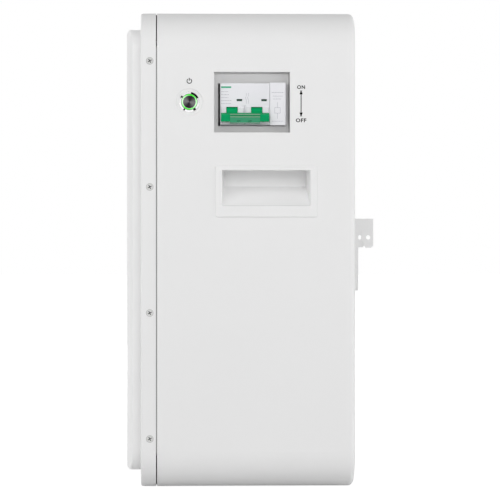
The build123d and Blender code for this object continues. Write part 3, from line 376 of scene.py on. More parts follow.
def turned_group():
    """A face turned on a lathe: fine rings about a centre, square to X, with a painted highlight lobed by
    angle across it.
    """
    tree, given, out = new_group(
        "turned_metal",
        [
            ("Colour", COLOUR, (0.1, 0.1, 0.1, 1.0)),
            ("Centre", VECTOR, (0.0, 0.0, 0.0)),
            ("Rings", FLOAT, 9000.0),
            ("Tone", FLOAT, 0.3),
            ("Sheen", FLOAT, 0.0),
            ("Roughness", FLOAT, 0.35),
        ],
        [("Colour", COLOUR), ("Roughness", FLOAT), ("Height", FLOAT), ("Turn", FLOAT)],
    )
    place = tree.nodes.new("ShaderNodeTexCoord").outputs["Object"]
    from_centre = tree.nodes.new("ShaderNodeVectorMath")
    from_centre.operation = "SUBTRACT"
    tree.links.new(place, from_centre.inputs[0])
    tree.links.new(given.outputs["Centre"], from_centre.inputs[1])
    flat = tree.nodes.new("ShaderNodeVectorMath")
    flat.operation = "MULTIPLY"
    flat.inputs[1].default_value = (0.0, 1.0, 1.0)
    tree.links.new(from_centre.outputs[0], flat.inputs[0])
    reach = tree.nodes.new("ShaderNodeVectorMath")
    reach.operation = "LENGTH"
    tree.links.new(flat.outputs[0], reach.inputs[0])
    phase = math_node(tree, "MULTIPLY", reach.outputs["Value"], given.outputs["Rings"])
    wave = math_node(tree, "SINE", phase)
    half = span_node(tree, math_node(tree, "ADD", math_node(tree, "MULTIPLY", wave, 0.5), 0.5), 0.0, 1.0)
    rough_ring = noise_node(tree, flat.outputs[0], 700.0, 3.0)
    fine_share = math_node(tree, "MULTIPLY", half, 0.6)
    cloud_share = math_node(tree, "MULTIPLY", rough_ring, 0.4)
    height = math_node(tree, "ADD", fine_share, cloud_share)
    shade = span_node(tree, height, math_node(tree, "SUBTRACT", 1.0, given.outputs["Tone"]), 1.0)
    tint = tree.nodes.new("ShaderNodeCombineColor")
    for index in range(3):
        tree.links.new(shade, tint.inputs[index])
    ringed = mix_colour(tree, 1.0, given.outputs["Colour"], tint.outputs[0], "MULTIPLY")
    split = tree.nodes.new("ShaderNodeSeparateXYZ")
    tree.links.new(flat.outputs[0], split.inputs[0])
    turn = math_node(tree, "ARCTAN2", split.outputs["Z"], split.outputs["Y"])
    # Painted highlight: the colour is lifted towards white in lobes about a fixed turn
    from_highlight_axis = math_node(tree, "ADD", turn, 0.26)
    wedge = math_node(tree, "POWER", math_node(tree, "ABSOLUTE", math_node(tree, "COSINE", from_highlight_axis)), 2.5)
    painted_highlight = math_node(tree, "MULTIPLY", wedge, given.outputs["Sheen"])
    final = mix_colour(tree, painted_highlight, ringed, (1.0, 1.0, 1.0, 1.0))
    tree.links.new(final, out.inputs["Colour"])
    rougher = math_node(tree, "ADD", given.outputs["Roughness"], 0.15)
    rough = span_node(tree, rough_ring, given.outputs["Roughness"], rougher)
    tree.links.new(rough, out.inputs["Roughness"])
    tree.links.new(height, out.inputs["Height"])
    tree.links.new(turn, out.inputs["Turn"])
    return tree


GRAIN = grain_group()
DRAWN = drawn_group()
TURNED = turned_group()


# Materials

def grey(level):
    """A neutral colour."""
    return (level, level, level, 1.0)


def node_of(material, kind):
    """The material's only node of that kind."""
    return next(node for node in material.node_tree.nodes if node.type == kind)


def finish(name, group, values, metallic=0.0, bump=0.0, distance=0.0002, **plain):
    """A material whose colour, roughness and bump come from a group."""
    material = bpy.data.materials.new(name)
    material.use_nodes = True
    tree = material.node_tree
    shader = node_of(material, "BSDF_PRINCIPLED")
    effect = tree.nodes.new("ShaderNodeGroup")
    effect.node_tree = group
    for label, value in values.items():
        effect.inputs[label].default_value = value
    tree.links.new(effect.outputs["Colour"], shader.inputs["Base Color"])
    tree.links.new(effect.outputs["Roughness"], shader.inputs["Roughness"])
    shader.inputs["Metallic"].default_value = metallic
    if bump:
        relief = tree.nodes.new("ShaderNodeBump")
        relief.inputs["Strength"].default_value = bump
        relief.inputs["Distance"].default_value = distance
        tree.links.new(effect.outputs["Height"], relief.inputs["Height"])
        tree.links.new(relief.outputs["Normal"], shader.inputs["Normal"])
    for label, value in plain.items():
        shader.inputs[label.replace("_", " ")].default_value = value
    return material


# Colours that more than one place uses, and the middle of the button's rings
WHITE = 0.80
NICKEL = (0.72, 0.72, 0.71, 1.0)
SLEEVE_GREEN = (0.05, 0.33, 0.17, 1.0)
# Painted highlight on the sleeve's ribs and painted shade in its groove
RIB_HIGHLIGHT_GREEN = (0.24, 0.42, 0.28, 1.0)
GROOVE_SHADE_GREEN = (0.0, 0.25, 0.08, 1.0)
FLAG_GREEN = (0.0, 0.045, 0.02, 1.0)
FLAG_RED = (0.4, 0.01, 0.01, 1.0)
BUTTON_CENTRE = (0.0, BUTTON[0] * MM, BUTTON[1] * MM)

paint = finish("white_powder_coat", GRAIN,
               {"Colour": grey(WHITE), "Scale": 1100.0, "Tone": 0.015, "Roughness": 0.55}, bump=0.12)
panel_paint = finish("panel_satin_white", GRAIN,
                     {"Colour": grey(WHITE), "Scale": 1400.0, "Tone": 0.012, "Roughness": 0.45}, bump=0.06)
# Painted shade: the mounting lips, seen through the seam, are dark grey to stand for the shade in the seam
lip_shade_paint = finish("lip_painted_shade", GRAIN,
                   {"Colour": grey(0.33), "Scale": 1100.0, "Tone": 0.05, "Roughness": 0.6}, bump=0.1)
handle_white = finish("handle_moulding", GRAIN,
                      {"Colour": grey(WHITE), "Scale": 1800.0, "Tone": 0.01, "Roughness": 0.48}, bump=0.15)
pole_white = finish("breaker_moulding", GRAIN,
                    {"Colour": (0.80, 0.80, 0.83, 1.0), "Scale": 1500.0, "Tone": 0.02, "Roughness": 0.38},
                    bump=0.05)
trip_white = finish("trip_moulding", GRAIN,
                    {"Colour": (0.83, 0.83, 0.86, 1.0), "Scale": 1500.0, "Tone": 0.02, "Roughness": 0.38},
                    bump=0.05)
black_plastic = finish("black_moulding", GRAIN,
                       {"Colour": grey(0.018), "Scale": 1500.0, "Tone": 0.1, "Roughness": 0.45}, bump=0.08)
red_plastic = finish("red_moulding", GRAIN,
                     {"Colour": (0.45, 0.02, 0.015, 1.0), "Scale": 1500.0, "Tone": 0.05, "Roughness": 0.42},
                     bump=0.08)
lever_green = finish("lever_moulding", GRAIN,
                     {"Colour": (0.001, 0.36, 0.12, 1.0), "Scale": 1500.0, "Tone": 0.05, "Roughness": 0.35},
                     bump=0.04, Specular_IOR_Level=0.08)
bar_green = finish("tie_bar_moulding", GRAIN,
                   {"Colour": (0.002, 0.34, 0.12, 1.0), "Scale": 1500.0, "Tone": 0.05, "Roughness": 0.35},
                   bump=0.04, Specular_IOR_Level=0.08)
sleeve_green = finish("sleeve_frosted", GRAIN,
                      {"Colour": SLEEVE_GREEN, "Scale": 900.0, "Tone": 0.08, "Roughness": 0.45},
                      bump=0.05, Specular_IOR_Level=0.2)
zinc = finish("galvanised_sheet", DRAWN,
              {"Colour": grey(0.78), "Stretch": (30.0, 40.0, 900.0), "Tone": 0.12, "Roughness": 0.42},
              metallic=1.0, bump=0.03)
screw_steel = finish("zinc_plated_steel", DRAWN,
                     {"Colour": (0.42, 0.42, 0.41, 1.0), "Stretch": (400.0, 900.0, 900.0), "Tone": 0.3,
                      "Roughness": 0.38}, metallic=1.0, bump=0.06)
screw_nickel = finish("bright_nickel", DRAWN,
                      {"Colour": NICKEL, "Stretch": (400.0, 900.0, 900.0), "Tone": 0.25, "Roughness": 0.4},
                      metallic=1.0, bump=0.06)
brass = finish("plain_brass", DRAWN,
               {"Colour": (0.64, 0.43, 0.17, 1.0), "Stretch": (60.0, 1500.0, 1500.0), "Tone": 0.2,
                "Roughness": 0.3}, metallic=1.0, bump=0.04)
aluminium = finish("plain_aluminium", DRAWN,
                   {"Colour": grey(0.72), "Stretch": (30.0, 900.0, 900.0), "Tone": 0.12, "Roughness": 0.4},
                   metallic=1.0, bump=0.05)
chrome = finish("polished_chrome", TURNED,
                {"Colour": grey(0.97), "Centre": BUTTON_CENTRE, "Tone": 0.03, "Roughness": 0.05},
                metallic=1.0)
# The cap's paler lobes are a painted highlight
cap_metal = finish("turned_dark_cap", TURNED,
                   {"Colour": (0.035, 0.03, 0.036, 1.0), "Centre": BUTTON_CENTRE, "Tone": 0.5,
                    "Sheen": 0.17, "Roughness": 0.3}, metallic=1.0, bump=0.2, distance=0.0001)
circuit = finish("solder_mask", GRAIN,
                 {"Colour": (0.01, 0.14, 0.045, 1.0), "Scale": 300.0, "Tone": 0.2, "Roughness": 0.35},
                 bump=0.05)
cell_film = finish("cell_film", GRAIN,
                   {"Colour": (0.02, 0.11, 0.38, 1.0), "Scale": 400.0, "Tone": 0.08, "Roughness": 0.3},
                   bump=0.06)
epoxy = finish("epoxy_sheet", GRAIN,
               {"Colour": (0.62, 0.55, 0.3, 1.0), "Scale": 500.0, "Tone": 0.15, "Roughness": 0.55}, bump=0.1)
sheath = finish("silicone_sheath", GRAIN,
                {"Colour": grey(0.012), "Scale": 900.0, "Tone": 0.1, "Roughness": 0.5}, bump=0.05)
ink = finish("dark_ink", GRAIN,
             {"Colour": grey(0.006), "Scale": 1500.0, "Tone": 0.1, "Roughness": 0.7}, bump=0.02,
             Specular_IOR_Level=0.1)
grey_ink = finish("grey_ink", GRAIN,
                  {"Colour": (0.42, 0.42, 0.47, 1.0), "Scale": 1500.0, "Tone": 0.1, "Roughness": 0.6},
                  bump=0.02)
green_ink = finish("green_ink", GRAIN,
                   {"Colour": (0.03, 0.42, 0.22, 1.0), "Scale": 1500.0, "Tone": 0.1, "Roughness": 0.6},
                   bump=0.02)
# The lit ring glows with its own light; its pale lobes are a painted highlight
glow = finish("lit_ring", TURNED,
              {"Colour": (0.045, 0.62, 0.025, 1.0), "Centre": BUTTON_CENTRE, "Rings": 700.0, "Tone": 0.1,
               "Sheen": 0.4, "Roughness": 0.3}, Emission_Strength=0.62)
glow.node_tree.links.new(
    node_of(glow, "GROUP").outputs["Colour"],
    node_of(glow, "BSDF_PRINCIPLED").inputs["Emission Color"],
)
label_film = finish("label_film", GRAIN,
                    {"Colour": (0.79, 0.79, 0.82, 1.0), "Scale": 700.0, "Tone": 0.015, "Roughness": 0.3},
                    bump=0.02)


# Painted dark reflections on the chrome: their colour, and each one's middle and half sweep in degrees
PAINTED_REFLECTION_DARK = grey(0.012)
CHROME_PAINTED_REFLECTIONS = ((52.0, 28.0), (146.0, 6.0), (-124.0, 5.0), (-55.0, 8.5))


def paint_dark_reflections(material, stretches):
    """Painted reflections: dark stretches painted into a turned metal ring's colour, each given by its
    middle and half its sweep in degrees.
    """
    tree = material.node_tree
    effect = node_of(material, "GROUP")
    mask = None
    for place, half in stretches:
        part = tree.nodes.new("ShaderNodeMath")
        part.operation = "COMPARE"
        tree.links.new(effect.outputs["Turn"], part.inputs[0])
        part.inputs[1].default_value = math.radians(place)
        part.inputs[2].default_value = math.radians(half)
        mask = part.outputs[0] if mask is None else math_node(tree, "MAXIMUM", mask, part.outputs[0])
    colour = mix_colour(tree, mask, effect.outputs["Colour"], PAINTED_REFLECTION_DARK)
    tree.links.new(colour, node_of(material, "BSDF_PRINCIPLED").inputs["Base Color"])


def paint_light_below_wall(material, depth, outer, inner):
    """Painted light and shade: one colour on the outside, another deeper than depth millimetres below a side
    wall's face.
    """
    tree = material.node_tree
    place = tree.nodes.new("ShaderNodeTexCoord").outputs["Object"]
    split = tree.nodes.new("ShaderNodeSeparateXYZ")
    tree.links.new(place, split.inputs[0])
    inside = tree.nodes.new("ShaderNodeMath")
    inside.operation = "COMPARE"
    tree.links.new(split.outputs["X"], inside.inputs[0])
    inside.inputs[1].default_value = (SIDE_X + LEFT_X) / 2 * MM
    inside.inputs[2].default_value = ((SIDE_X - LEFT_X) / 2 - depth) * MM
    colour = mix_colour(tree, inside.outputs[0], outer, inner)
    tree.links.new(colour, node_of(material, "GROUP").inputs["Colour"])


# Painted highlight and shade bands on the sleeve: middle and half height in millimetres, and colour
SLEEVE_LIGHT_SHADE_BANDS = ((4.65, 0.35, RIB_HIGHLIGHT_GREEN), (3.5, 0.75, GROOVE_SHADE_GREEN), (1.9, 0.55, RIB_HIGHLIGHT_GREEN))


def paint_sleeve_light_and_shade():
    """Painted highlights on the ribs and a painted shade line in the groove along the sleeve, by height
    above the toggle's middle.
    """
    tree = sleeve_green.node_tree
    place = tree.nodes.new("ShaderNodeTexCoord").outputs["Object"]
    turn = math.radians(OFF_ANGLE)
    up = tree.nodes.new("ShaderNodeVectorMath")
    up.operation = "DOT_PRODUCT"
    tree.links.new(place, up.inputs[0])
    up.inputs[1].default_value = (math.sin(turn), 0.0, math.cos(turn))
    pivot_height = (PIVOT[0] * math.sin(turn) + PIVOT[1] * math.cos(turn)) * MM
    height = math_node(tree, "SUBTRACT", up.outputs["Value"], pivot_height)
    colour = SLEEVE_GREEN
    for middle_up, half, tone in SLEEVE_LIGHT_SHADE_BANDS:
        band = tree.nodes.new("ShaderNodeMath")
        band.operation = "COMPARE"
        tree.links.new(height, band.inputs[0])
        band.inputs[1].default_value = middle_up * MM
        band.inputs[2].default_value = half * MM
        colour = mix_colour(tree, band.outputs[0], colour, tone)
    tree.links.new(colour, node_of(sleeve_green, "GROUP").inputs["Colour"])


def flag_material():
    """Two halves: green behind the window when OFF, red when the flag has slid down."""
    material = finish("flag_two_tone", GRAIN, {"Scale": 1200.0, "Tone": 0.05, "Roughness": 0.45}, bump=0.05)
    tree = material.node_tree
    place = tree.nodes.new("ShaderNodeTexCoord").outputs["Object"]
    split = tree.nodes.new("ShaderNodeSeparateXYZ")
    tree.links.new(place, split.inputs[0])
    upper = math_node(tree, "GREATER_THAN", split.outputs["Z"], middle("contact_flags")[2] * MM)
    colour = mix_colour(tree, upper, FLAG_GREEN, FLAG_RED)
    tree.links.new(colour, node_of(material, "GROUP").inputs["Colour"])
    return material


# Painted light: the handles' pockets are painted paler inside, and the screws' recesses get painted shade
paint_light_below_wall(handle_white, 0.0, grey(WHITE), grey(0.94))
# Painted shade in the cover screws' recesses
paint_light_below_wall(screw_nickel, 0.15, NICKEL, grey(0.05))
# The chrome bezel gets painted dark reflections
paint_dark_reflections(chrome, CHROME_PAINTED_REFLECTIONS)
paint_sleeve_light_and_shade()

SLOT_MATERIALS = {
    "housing_paint": paint,
    "cover_paint": paint,
    "panel_paint": panel_paint,
    "bracket_paint": paint,
    "handle_plastic": handle_white,
    "screw_steel": screw_steel,
    "tray_zinc": zinc,
    "pole_plastic": pole_white,
    "trip_plastic": trip_white,
    "clip_plastic": black_plastic,
    "lever_green": lever_green,
    "bar_green": bar_green,
    "sleeve_green": sleeve_green,
    "flag_colour": flag_material(),
    "bezel_chrome": chrome,
    "light_ring": glow,
    "cap_metal": cap_metal,
    "switch_plastic": black_plastic,
    "red_plastic": red_plastic,
    "stud_brass": brass,
    "circuit_board": circuit,
    "cell_wrap": cell_film,
    "insulation": epoxy,
    "aluminium": aluminium,
    "lead_sheath": sheath,
}

for entry in frame["record"]["subparts"]:
    piece = nodes[entry["node"]]
    for holder in piece.material_slots:
        holder.material = SLOT_MATERIALS[entry["material_slot"]]
# The mounting lips get the painted seam shade
for holder in nodes["mounting_lips"].material_slots:
    holder.material = lip_shade_paint
for holder in nodes["cover_screws"].material_slots:
    holder.material = screw_nickel


# Making pieces

def alone(piece):
    """Only this piece is selected and active."""
    bpy.ops.object.select_all(action="DESELECT")
    piece.select_set(True)
    bpy.context.view_layer.objects.active = piece


def settle(piece):
    """The piece's place goes into its mesh."""
    alone(piece)
    bpy.ops.object.transform_apply(location=True, rotation=True, scale=True)


def joined(pieces, name, material, body):
    """Several meshes become one piece that rides on a body."""
    for piece in pieces:
        settle(piece)
    bpy.ops.object.select_all(action="DESELECT")
    for piece in pieces:
        piece.select_set(True)
    bpy.context.view_layer.objects.active = pieces[0]
    if len(pieces) > 1:
        bpy.ops.object.join()
    made = bpy.context.object
    made.name = name
    made.data.materials.clear()
    made.data.materials.append(material)
    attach(made, body)
    return made


# Turns a shape drawn flat in X and Y to face out of the right or the left wall
RIGHT = Matrix(((0, 0, 1), (1, 0, 0), (0, 1, 0))).to_4x4()
LEFT = Matrix(((0, 0, -1), (-1, 0, 0), (0, 1, 0))).to_4x4()


def stand(piece, facing, place, turn=0.0):
    """A flat shape, turned by that many degrees, is stood on a side at a place in millimetres."""
    turned = facing @ Matrix.Rotation(math.radians(turn), 4, "Z")
    piece.matrix_world = Matrix.Translation([value * MM for value in place]) @ turned
    settle(piece)
    return piece


def thicken(piece, thick=INK_THICK):
    """A flat drawing that faces up gets the thickness of ink or film, in millimetres."""
    alone(piece)
    skin = piece.modifiers.new("ink", "SOLIDIFY")
    skin.thickness = thick * MM
    skin.offset = 1.0
    bpy.ops.object.modifier_apply(modifier=skin.name)


def face_up(piece):
    """A flat drawing that faces down is turned over."""
    if piece.data.polygons[0].normal.z < 0:
        piece.data.flip_normals()


def pick(piece, kind, wanted):
    """Edit mode, with the corners or faces selected whose place is wanted."""
    alone(piece)
    bpy.ops.object.mode_set(mode="EDIT")
    bpy.ops.mesh.select_mode(type=kind)
    bpy.ops.mesh.select_all(action="DESELECT")
    bpy.ops.object.mode_set(mode="OBJECT")
    if kind == "VERT":
        for corner in piece.data.vertices:
            corner.select = wanted(corner.co)
    else:
        for face in piece.data.polygons:
            face.select = wanted(face.center)
    bpy.ops.object.mode_set(mode="EDIT")


def flat_sheet(wide, tall):
    """A flat sheet about the origin, in millimetres."""
    bpy.ops.object.select_all(action="DESELECT")
    bpy.ops.mesh.primitive_plane_add(size=MM)
    piece = bpy.context.object
    bpy.ops.object.mode_set(mode="EDIT")
    bpy.ops.mesh.select_all(action="SELECT")
    bpy.ops.transform.resize(value=(wide, tall, 1.0))
    bpy.ops.object.mode_set(mode="OBJECT")
    return piece


def cut(piece, place, across, trim=False):
    """A straight cut square to across; trim takes away what lies past it."""
    alone(piece)
    bpy.ops.object.mode_set(mode="EDIT")
    bpy.ops.mesh.select_all(action="SELECT")
    bpy.ops.mesh.bisect(
        plane_co=(place[0] * MM, place[1] * MM, 0.0),
        plane_no=Vector((*across, 0.0)).normalized(),
        clear_outer=trim,
        threshold=1e-7,
    )
    bpy.ops.object.mode_set(mode="OBJECT")


def bar(wide, tall, facing, place):
    """A printed bar."""
    piece = flat_sheet(wide, tall)
    thicken(piece)
    return stand(piece, facing, place)


ARC_STEPS = 40


def arc(radius, stroke, start, sweep, facing, place):
    """A printed arc: a short radial line spun about its centre; the operator's own turn is clockwise."""
    bpy.ops.object.select_all(action="DESELECT")
    bpy.ops.mesh.primitive_plane_add(size=stroke * MM, location=(radius * MM, stroke / 2 * MM, 0.0))
    piece = bpy.context.object
    settle(piece)
    pick(piece, "VERT", lambda place: place.y > stroke / 2 * MM)
    bpy.ops.mesh.delete(type="VERT")
    bpy.ops.mesh.select_all(action="SELECT")
    bpy.ops.mesh.spin(
        steps=ARC_STEPS,
        angle=-math.radians(sweep),
        center=(0.0, 0.0, 0.0),
        axis=(0.0, 0.0, 1.0),
    )
    bpy.ops.object.mode_set(mode="OBJECT")
    face_up(piece)
    thicken(piece)
    return stand(piece, facing, place, start)


# Letters, in millimetres before they are fitted to a word's size
LETTER_SIZE = 10.0
LETTER_BOLD = 0.3
LETTER_SPACE = 1.12


def word(text, wide, tall, facing, place):
    """A printed word of that width and height, in millimetres, about its middle."""
    bpy.ops.object.text_add()
    piece = bpy.context.object
    piece.data.body = text
    piece.data.align_x = "CENTER"
    piece.data.align_y = "CENTER"
    piece.data.size = LETTER_SIZE * MM
    piece.data.offset = LETTER_BOLD * MM
    piece.data.space_character = LETTER_SPACE
    piece.data.resolution_u = 4
    alone(piece)
    bpy.ops.object.convert(target="MESH")
    piece = bpy.context.object
    low = [min(v.co[i] for v in piece.data.vertices) for i in (0, 1)]
    high = [max(v.co[i] for v in piece.data.vertices) for i in (0, 1)]
    centre = Vector(((low[0] + high[0]) / 2, (low[1] + high[1]) / 2, 0))
    grow = Matrix.Diagonal((wide * MM / (high[0] - low[0]), tall * MM / (high[1] - low[1]), 1, 1))
    piece.data.transform(grow @ Matrix.Translation(-centre))
    thicken(piece)
    return stand(piece, facing, place)


# Printing on the right side, in millimetres; heights are counted from the middle of the breaker's nose

LEGEND_Y = 50.1
ON_SIZE = (8.6, 4.1)
ON_UP = 17.5
OFF_SIZE = (11.4, 4.2)
OFF_UP = -18.6
ARROW_ENDS = (-13.9, 13.4)
ARROW_LINE = 0.95
ARROW_END_BAR = (2.5, 0.6)
HEAD_SIZE = (3.0, 3.6)
HEAD_SHOULDER = -0.9
HEAD_TIP = 0.4
HEAD_FROM_END = 2.0


def arrow_head(place, turn):
    """A sheet whose two upper corners are cut off, from its shoulders to its blunt tip."""
    half = HEAD_SIZE[0] / 2
    rise = HEAD_SIZE[1] / 2 - HEAD_SHOULDER
    piece = flat_sheet(*HEAD_SIZE)
    cut(piece, (half, HEAD_SHOULDER), (rise, half - HEAD_TIP), trim=True)
    cut(piece, (-half, HEAD_SHOULDER), (-rise, half - HEAD_TIP), trim=True)
    thicken(piece)
    return stand(piece, RIGHT, place, turn)


def side_legends():
    """ON, OFF and the arrow between them, beside the window."""
    legend_on = word("ON", *ON_SIZE, RIGHT, (SIDE_X, LEGEND_Y, NOSE_Z + ON_UP))
    joined([legend_on], "legend_on", ink, "housing")
    legend_off = word("OFF", *OFF_SIZE, RIGHT, (SIDE_X, LEGEND_Y, NOSE_Z + OFF_UP))
    joined([legend_off], "legend_off", ink, "housing")
    low, top = (NOSE_Z + end for end in ARROW_ENDS)
    between = top - low - 2 * HEAD_FROM_END
    parts = [bar(ARROW_LINE, between, RIGHT, (SIDE_X, LEGEND_Y, (top + low) / 2))]
    parts.append(arrow_head((SIDE_X, LEGEND_Y, top - HEAD_FROM_END), 0.0))
    parts.append(arrow_head((SIDE_X, LEGEND_Y, low + HEAD_FROM_END), 180.0))
    for end in (top, low):
        parts.append(bar(*ARROW_END_BAR, RIGHT, (SIDE_X, LEGEND_Y, end)))
    joined(parts, "legend_arrow", ink, "housing")


POWER_SIGN_UP = 22.7
POWER_SIGN_RADIUS = 2.5
POWER_SIGN_STROKE = 0.85
POWER_SIGN_ARC = (120.0, 300.0)
POWER_SIGN_STEM = (3.0, 1.9)


def button_symbol():
    """The plain power sign above the button: an open ring with a stem."""
    y, button_z = BUTTON
    z = button_z + POWER_SIGN_UP
    tall, up = POWER_SIGN_STEM
    parts = [arc(POWER_SIGN_RADIUS, POWER_SIGN_STROKE, *POWER_SIGN_ARC, RIGHT, (SIDE_X, y, z))]
    parts.append(bar(POWER_SIGN_STROKE, tall, RIGHT, (SIDE_X, y, z + up)))
    joined(parts, "button_sign", ink, "housing")


ROW_PITCH = 3.2
DASH_TALL = 0.45
DASH_WIDE = (0.5, 1.6)
DASH_GAP = 0.35
HAIRLINE = 0.3


def small_rows(rows, y, up, face_x, seed):
    """Rows of short dashes, as fine print seen from afar: lengths, start and first height."""
    chance = random.Random(seed)
    parts = []
    for index, length in enumerate(rows):
        at = 0.0
        z = NOSE_Z + up - index * ROW_PITCH
        while at < length:
            dash = min(chance.uniform(*DASH_WIDE), length - at)
            parts.append(bar(dash, DASH_TALL, RIGHT, (face_x, y + at + dash / 2, z)))
            at += dash + DASH_GAP
    return parts


SWITCH_PITCH = 2.4
SWITCH_LEAD = 3.6
SWITCH_LEAD_UP = 4.0
BLADE_TALL = 3.9
BLADE_UP = -0.25
BLADE_LEAN = -1.1


def switch_blade(place):
    """A hairline whose upper end leans over."""
    piece = flat_sheet(HAIRLINE, BLADE_TALL)
    pick(piece, "VERT", lambda place: place.y > 0)
    bpy.ops.transform.translate(value=(BLADE_LEAN * MM, 0.0, 0.0))
    bpy.ops.object.mode_set(mode="OBJECT")
    thicken(piece)
    return stand(piece, RIGHT, place)


def switch_sign(y, up, face_x):
    """A plain two-pole switch sign."""
    z = NOSE_Z + up
    parts = []
    for pole_y in (y, y + SWITCH_PITCH):
        for lead_z in (z + SWITCH_LEAD_UP, z - SWITCH_LEAD_UP):
            parts.append(bar(HAIRLINE, SWITCH_LEAD, RIGHT, (face_x, pole_y, lead_z)))
        parts.append(switch_blade((face_x, pole_y, z + BLADE_UP)))
    return parts


COIL_BOX = 6.0
COIL_LEAD = 6.0


def coil_sign(y, up, face_x):
    """A plain coil sign: a box with a lead above and below."""
    z = NOSE_Z + up
    parts = []
    for side in (1, -1):
        edge = side * COIL_BOX / 2
        parts.append(bar(COIL_BOX, HAIRLINE, RIGHT, (face_x, y, z + edge)))
        parts.append(bar(HAIRLINE, COIL_BOX + HAIRLINE, RIGHT, (face_x, y + edge, z)))
        lead_z = z + side * (COIL_BOX + COIL_LEAD) / 2
        parts.append(bar(HAIRLINE, COIL_LEAD, RIGHT, (face_x, y, lead_z)))
    return parts


# The film label: its margins at both poles, its lower and upper edges, and its windows
LABEL_MARGINS = (0.25, 0.2)
LABEL_EDGES = (-1.2, 22.3)
WINDOW_EDGES = (2.9, 5.3)
WINDOW_HALF = 3.05
WINDOW_FROM_FLAG_EDGE = 3.3


def pole_label():
    """One film label over the upper faces of both poles, cut out at the two flags."""
    flags = span("contact_flags")
    windows = (flags[0][1] + WINDOW_FROM_FLAG_EDGE, flags[1][1] - WINDOW_FROM_FLAG_EDGE)
    start = span("breaker_pole_1")[0][1] + LABEL_MARGINS[0]
    end = span("breaker_pole_2")[1][1] - LABEL_MARGINS[1]
    middle_y = (start + end) / 2
    middle_up = sum(LABEL_EDGES) / 2
    piece = flat_sheet(end - start, LABEL_EDGES[1] - LABEL_EDGES[0])
    for window in windows:
        for side in (-WINDOW_HALF, WINDOW_HALF):
            cut(piece, (window + side - middle_y, 0.0), (1.0, 0.0))
    for edge in WINDOW_EDGES:
        cut(piece, (0.0, edge - middle_up), (0.0, 1.0))

    def in_window(place):
        y = place.x / MM + middle_y
        up = place.y / MM + middle_up
        beside = any(abs(y - window) < WINDOW_HALF for window in windows)
        return beside and WINDOW_EDGES[0] < up < WINDOW_EDGES[1]

    pick(piece, "FACE", in_window)
    bpy.ops.mesh.delete(type="FACE")
    bpy.ops.object.mode_set(mode="OBJECT")
    thicken(piece, LABEL_THICK)
    stand(piece, RIGHT, (NOSE_X, middle_y, NOSE_Z + middle_up))
    joined([piece], "pole_label", label_film, "housing")


# Bars on the breaker: width, height, place along Y and height of the middle
STRIPE = (11.0, 1.7, -31.0, 18.2)
LOWER_LINE = (33.0, 0.5, -10.6, -21.6)


def breaker_print():
    """A plain bar, rows of fine print and plain signs on the poles and the trip block."""
    wide, tall, y, up = STRIPE
    joined([bar(wide, tall, RIGHT, (LABEL_X, y, NOSE_Z + up))], "pole_stripe", green_ink, "housing")
    parts = small_rows((8.0, 8.5, 8.0, 11.5, 11.0), -36.6, 13.3, LABEL_X, 3)
    parts += switch_sign(-9.0, 5.9, LABEL_X)
    joined(parts, "pole_print", grey_ink, "housing")
    parts = small_rows((13.0,), 18.7, 12.5, TRIP_X, 5)
    parts += small_rows((11.0, 9.0), 20.0, 8.5, TRIP_X, 7)
    parts += coil_sign(25.0, -7.1, TRIP_X)
    parts += small_rows((12.5,), 18.9, -18.9, TRIP_X, 9)
    joined(parts, "trip_print", grey_ink, "housing")
    wide, tall, y, up = LOWER_LINE
    joined([bar(wide, tall, RIGHT, (NOSE_X, y, NOSE_Z + up))], "pole_line", green_ink, "housing")


# The words on the sleeve: their size, their places along Y, and their place from the toggle's pivot
SLEEVE_WORD_SIZE = (4.0, 1.2)
SLEEVE_WORD_YS = (-17.6, -5.4)
SLEEVE_WORD_OUT = 17.4
SLEEVE_WORD_UP = -2.9


def on_toggle(out, up):
    """A place on the toggle at OFF, from its pivot, in X and Z."""
    turn = math.radians(OFF_ANGLE)
    return (
        PIVOT[0] + out * math.cos(turn) + up * math.sin(turn),
        PIVOT[1] - out * math.sin(turn) + up * math.cos(turn),
    )


def sleeve_words():
    """OFF, small and dark, twice on the sleeve."""
    x, z = on_toggle(SLEEVE_WORD_OUT, SLEEVE_WORD_UP)
    lean = Matrix.Rotation(math.radians(OFF_ANGLE), 4, "Y")
    parts = []
    for y in SLEEVE_WORD_YS:
        piece = word("OFF", *SLEEVE_WORD_SIZE, RIGHT, (0, 0, 0))
        piece.data.transform(Matrix.Translation((x * MM, y * MM, z * MM)) @ lean)
        parts.append(piece)
    joined(parts, "sleeve_words", ink, "toggle")


GASKET_INNER = 8.45
GASKET_OUTER = 8.95


def button_gasket():
    """The dark ring between the chrome bezel and the lit ring."""
    grow = GASKET_OUTER / GASKET_INNER
    bpy.ops.object.select_all(action="DESELECT")
    bpy.ops.mesh.primitive_circle_add(vertices=64, radius=GASKET_INNER * MM, fill_type="NOTHING")
    piece = bpy.context.object
    bpy.ops.object.mode_set(mode="EDIT")
    bpy.ops.mesh.select_all(action="SELECT")
    bpy.ops.mesh.extrude_edges_move()
    bpy.ops.transform.resize(value=(grow, grow, 1.0))
    bpy.ops.mesh.select_all(action="SELECT")
    bpy.ops.mesh.normals_make_consistent(inside=False)
    bpy.ops.object.mode_set(mode="OBJECT")
    face_up(piece)
    thicken(piece)
    face_x = span("button_body")[1][0]
    joined([stand(piece, RIGHT, (face_x, *BUTTON))], "button_gasket", black_plastic, "housing")


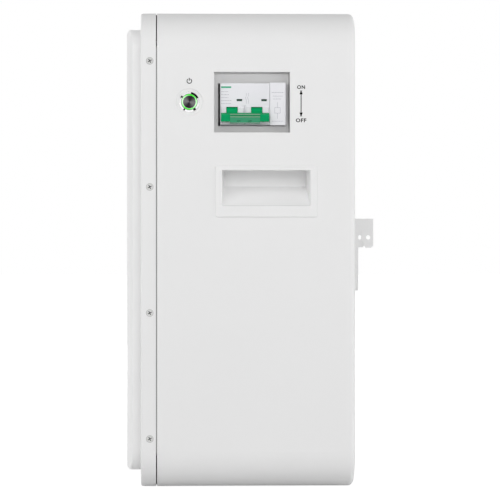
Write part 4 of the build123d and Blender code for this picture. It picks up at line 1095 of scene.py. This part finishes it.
# Signs on the left side
SIGN_SIZE = 6.0
SIGN_STROKE = 1.2
SIGN_AWAY = 7.0
EARTH_STROKE = 0.8
EARTH_STEM = 3.4
EARTH_PITCH = 1.6
EARTH_BARS = (6.0, 4.0, 2.0)


def terminal_signs():
    """Plain signs beside the terminals and the ground stud."""
    low, high = span("positive_bushing")
    above = high[2] + SIGN_AWAY
    plus = (LEFT_X, (low[1] + high[1]) / 2, above)
    parts = [bar(SIGN_SIZE, SIGN_STROKE, LEFT, plus), bar(SIGN_STROKE, SIGN_SIZE, LEFT, plus)]
    joined(parts, "sign_positive", ink, "housing")
    minus = (LEFT_X, middle("negative_bushing")[1], above)
    joined([bar(SIGN_SIZE, SIGN_STROKE, LEFT, minus)], "sign_negative", ink, "housing")
    y = span("ground_stud")[1][1] + SIGN_AWAY
    z = middle("ground_stud")[2]
    parts = [bar(EARTH_STROKE, EARTH_STEM, LEFT, (LEFT_X, y, z + EARTH_STEM / 2))]
    for index, wide in enumerate(EARTH_BARS):
        parts.append(bar(wide, EARTH_STROKE, LEFT, (LEFT_X, y, z - index * EARTH_PITCH)))
    joined(parts, "sign_earth", ink, "housing")


SCREWS_ON_A_SIDE = 4
SCREW_HEAD_RADIUS = 4.0
RIM_WIDE = 0.3
RIM_SWEEP = 359.0


def screw_rims():
    """The fine gap round each cover screw's head, four on each side."""
    low, high = span("cover_screws")
    y = (low[1] + high[1]) / 2
    first = low[2] + SCREW_HEAD_RADIUS
    pitch = (high[2] - SCREW_HEAD_RADIUS - first) / (SCREWS_ON_A_SIDE - 1)
    for side, facing, face_x in (("right", RIGHT, SIDE_X), ("left", LEFT, LEFT_X)):
        rims = []
        for index in range(SCREWS_ON_A_SIDE):
            place = (face_x, y, first + index * pitch)
            rims.append(arc(SCREW_HEAD_RADIUS - RIM_WIDE / 2, RIM_WIDE, 0.0, RIM_SWEEP, facing, place))
        joined(rims, f"screw_rims_{side}", screw_steel, "housing")


side_legends()
button_symbol()
screw_rims()
terminal_signs()
button_gasket()
pole_label()
breaker_print()
sleeve_words()
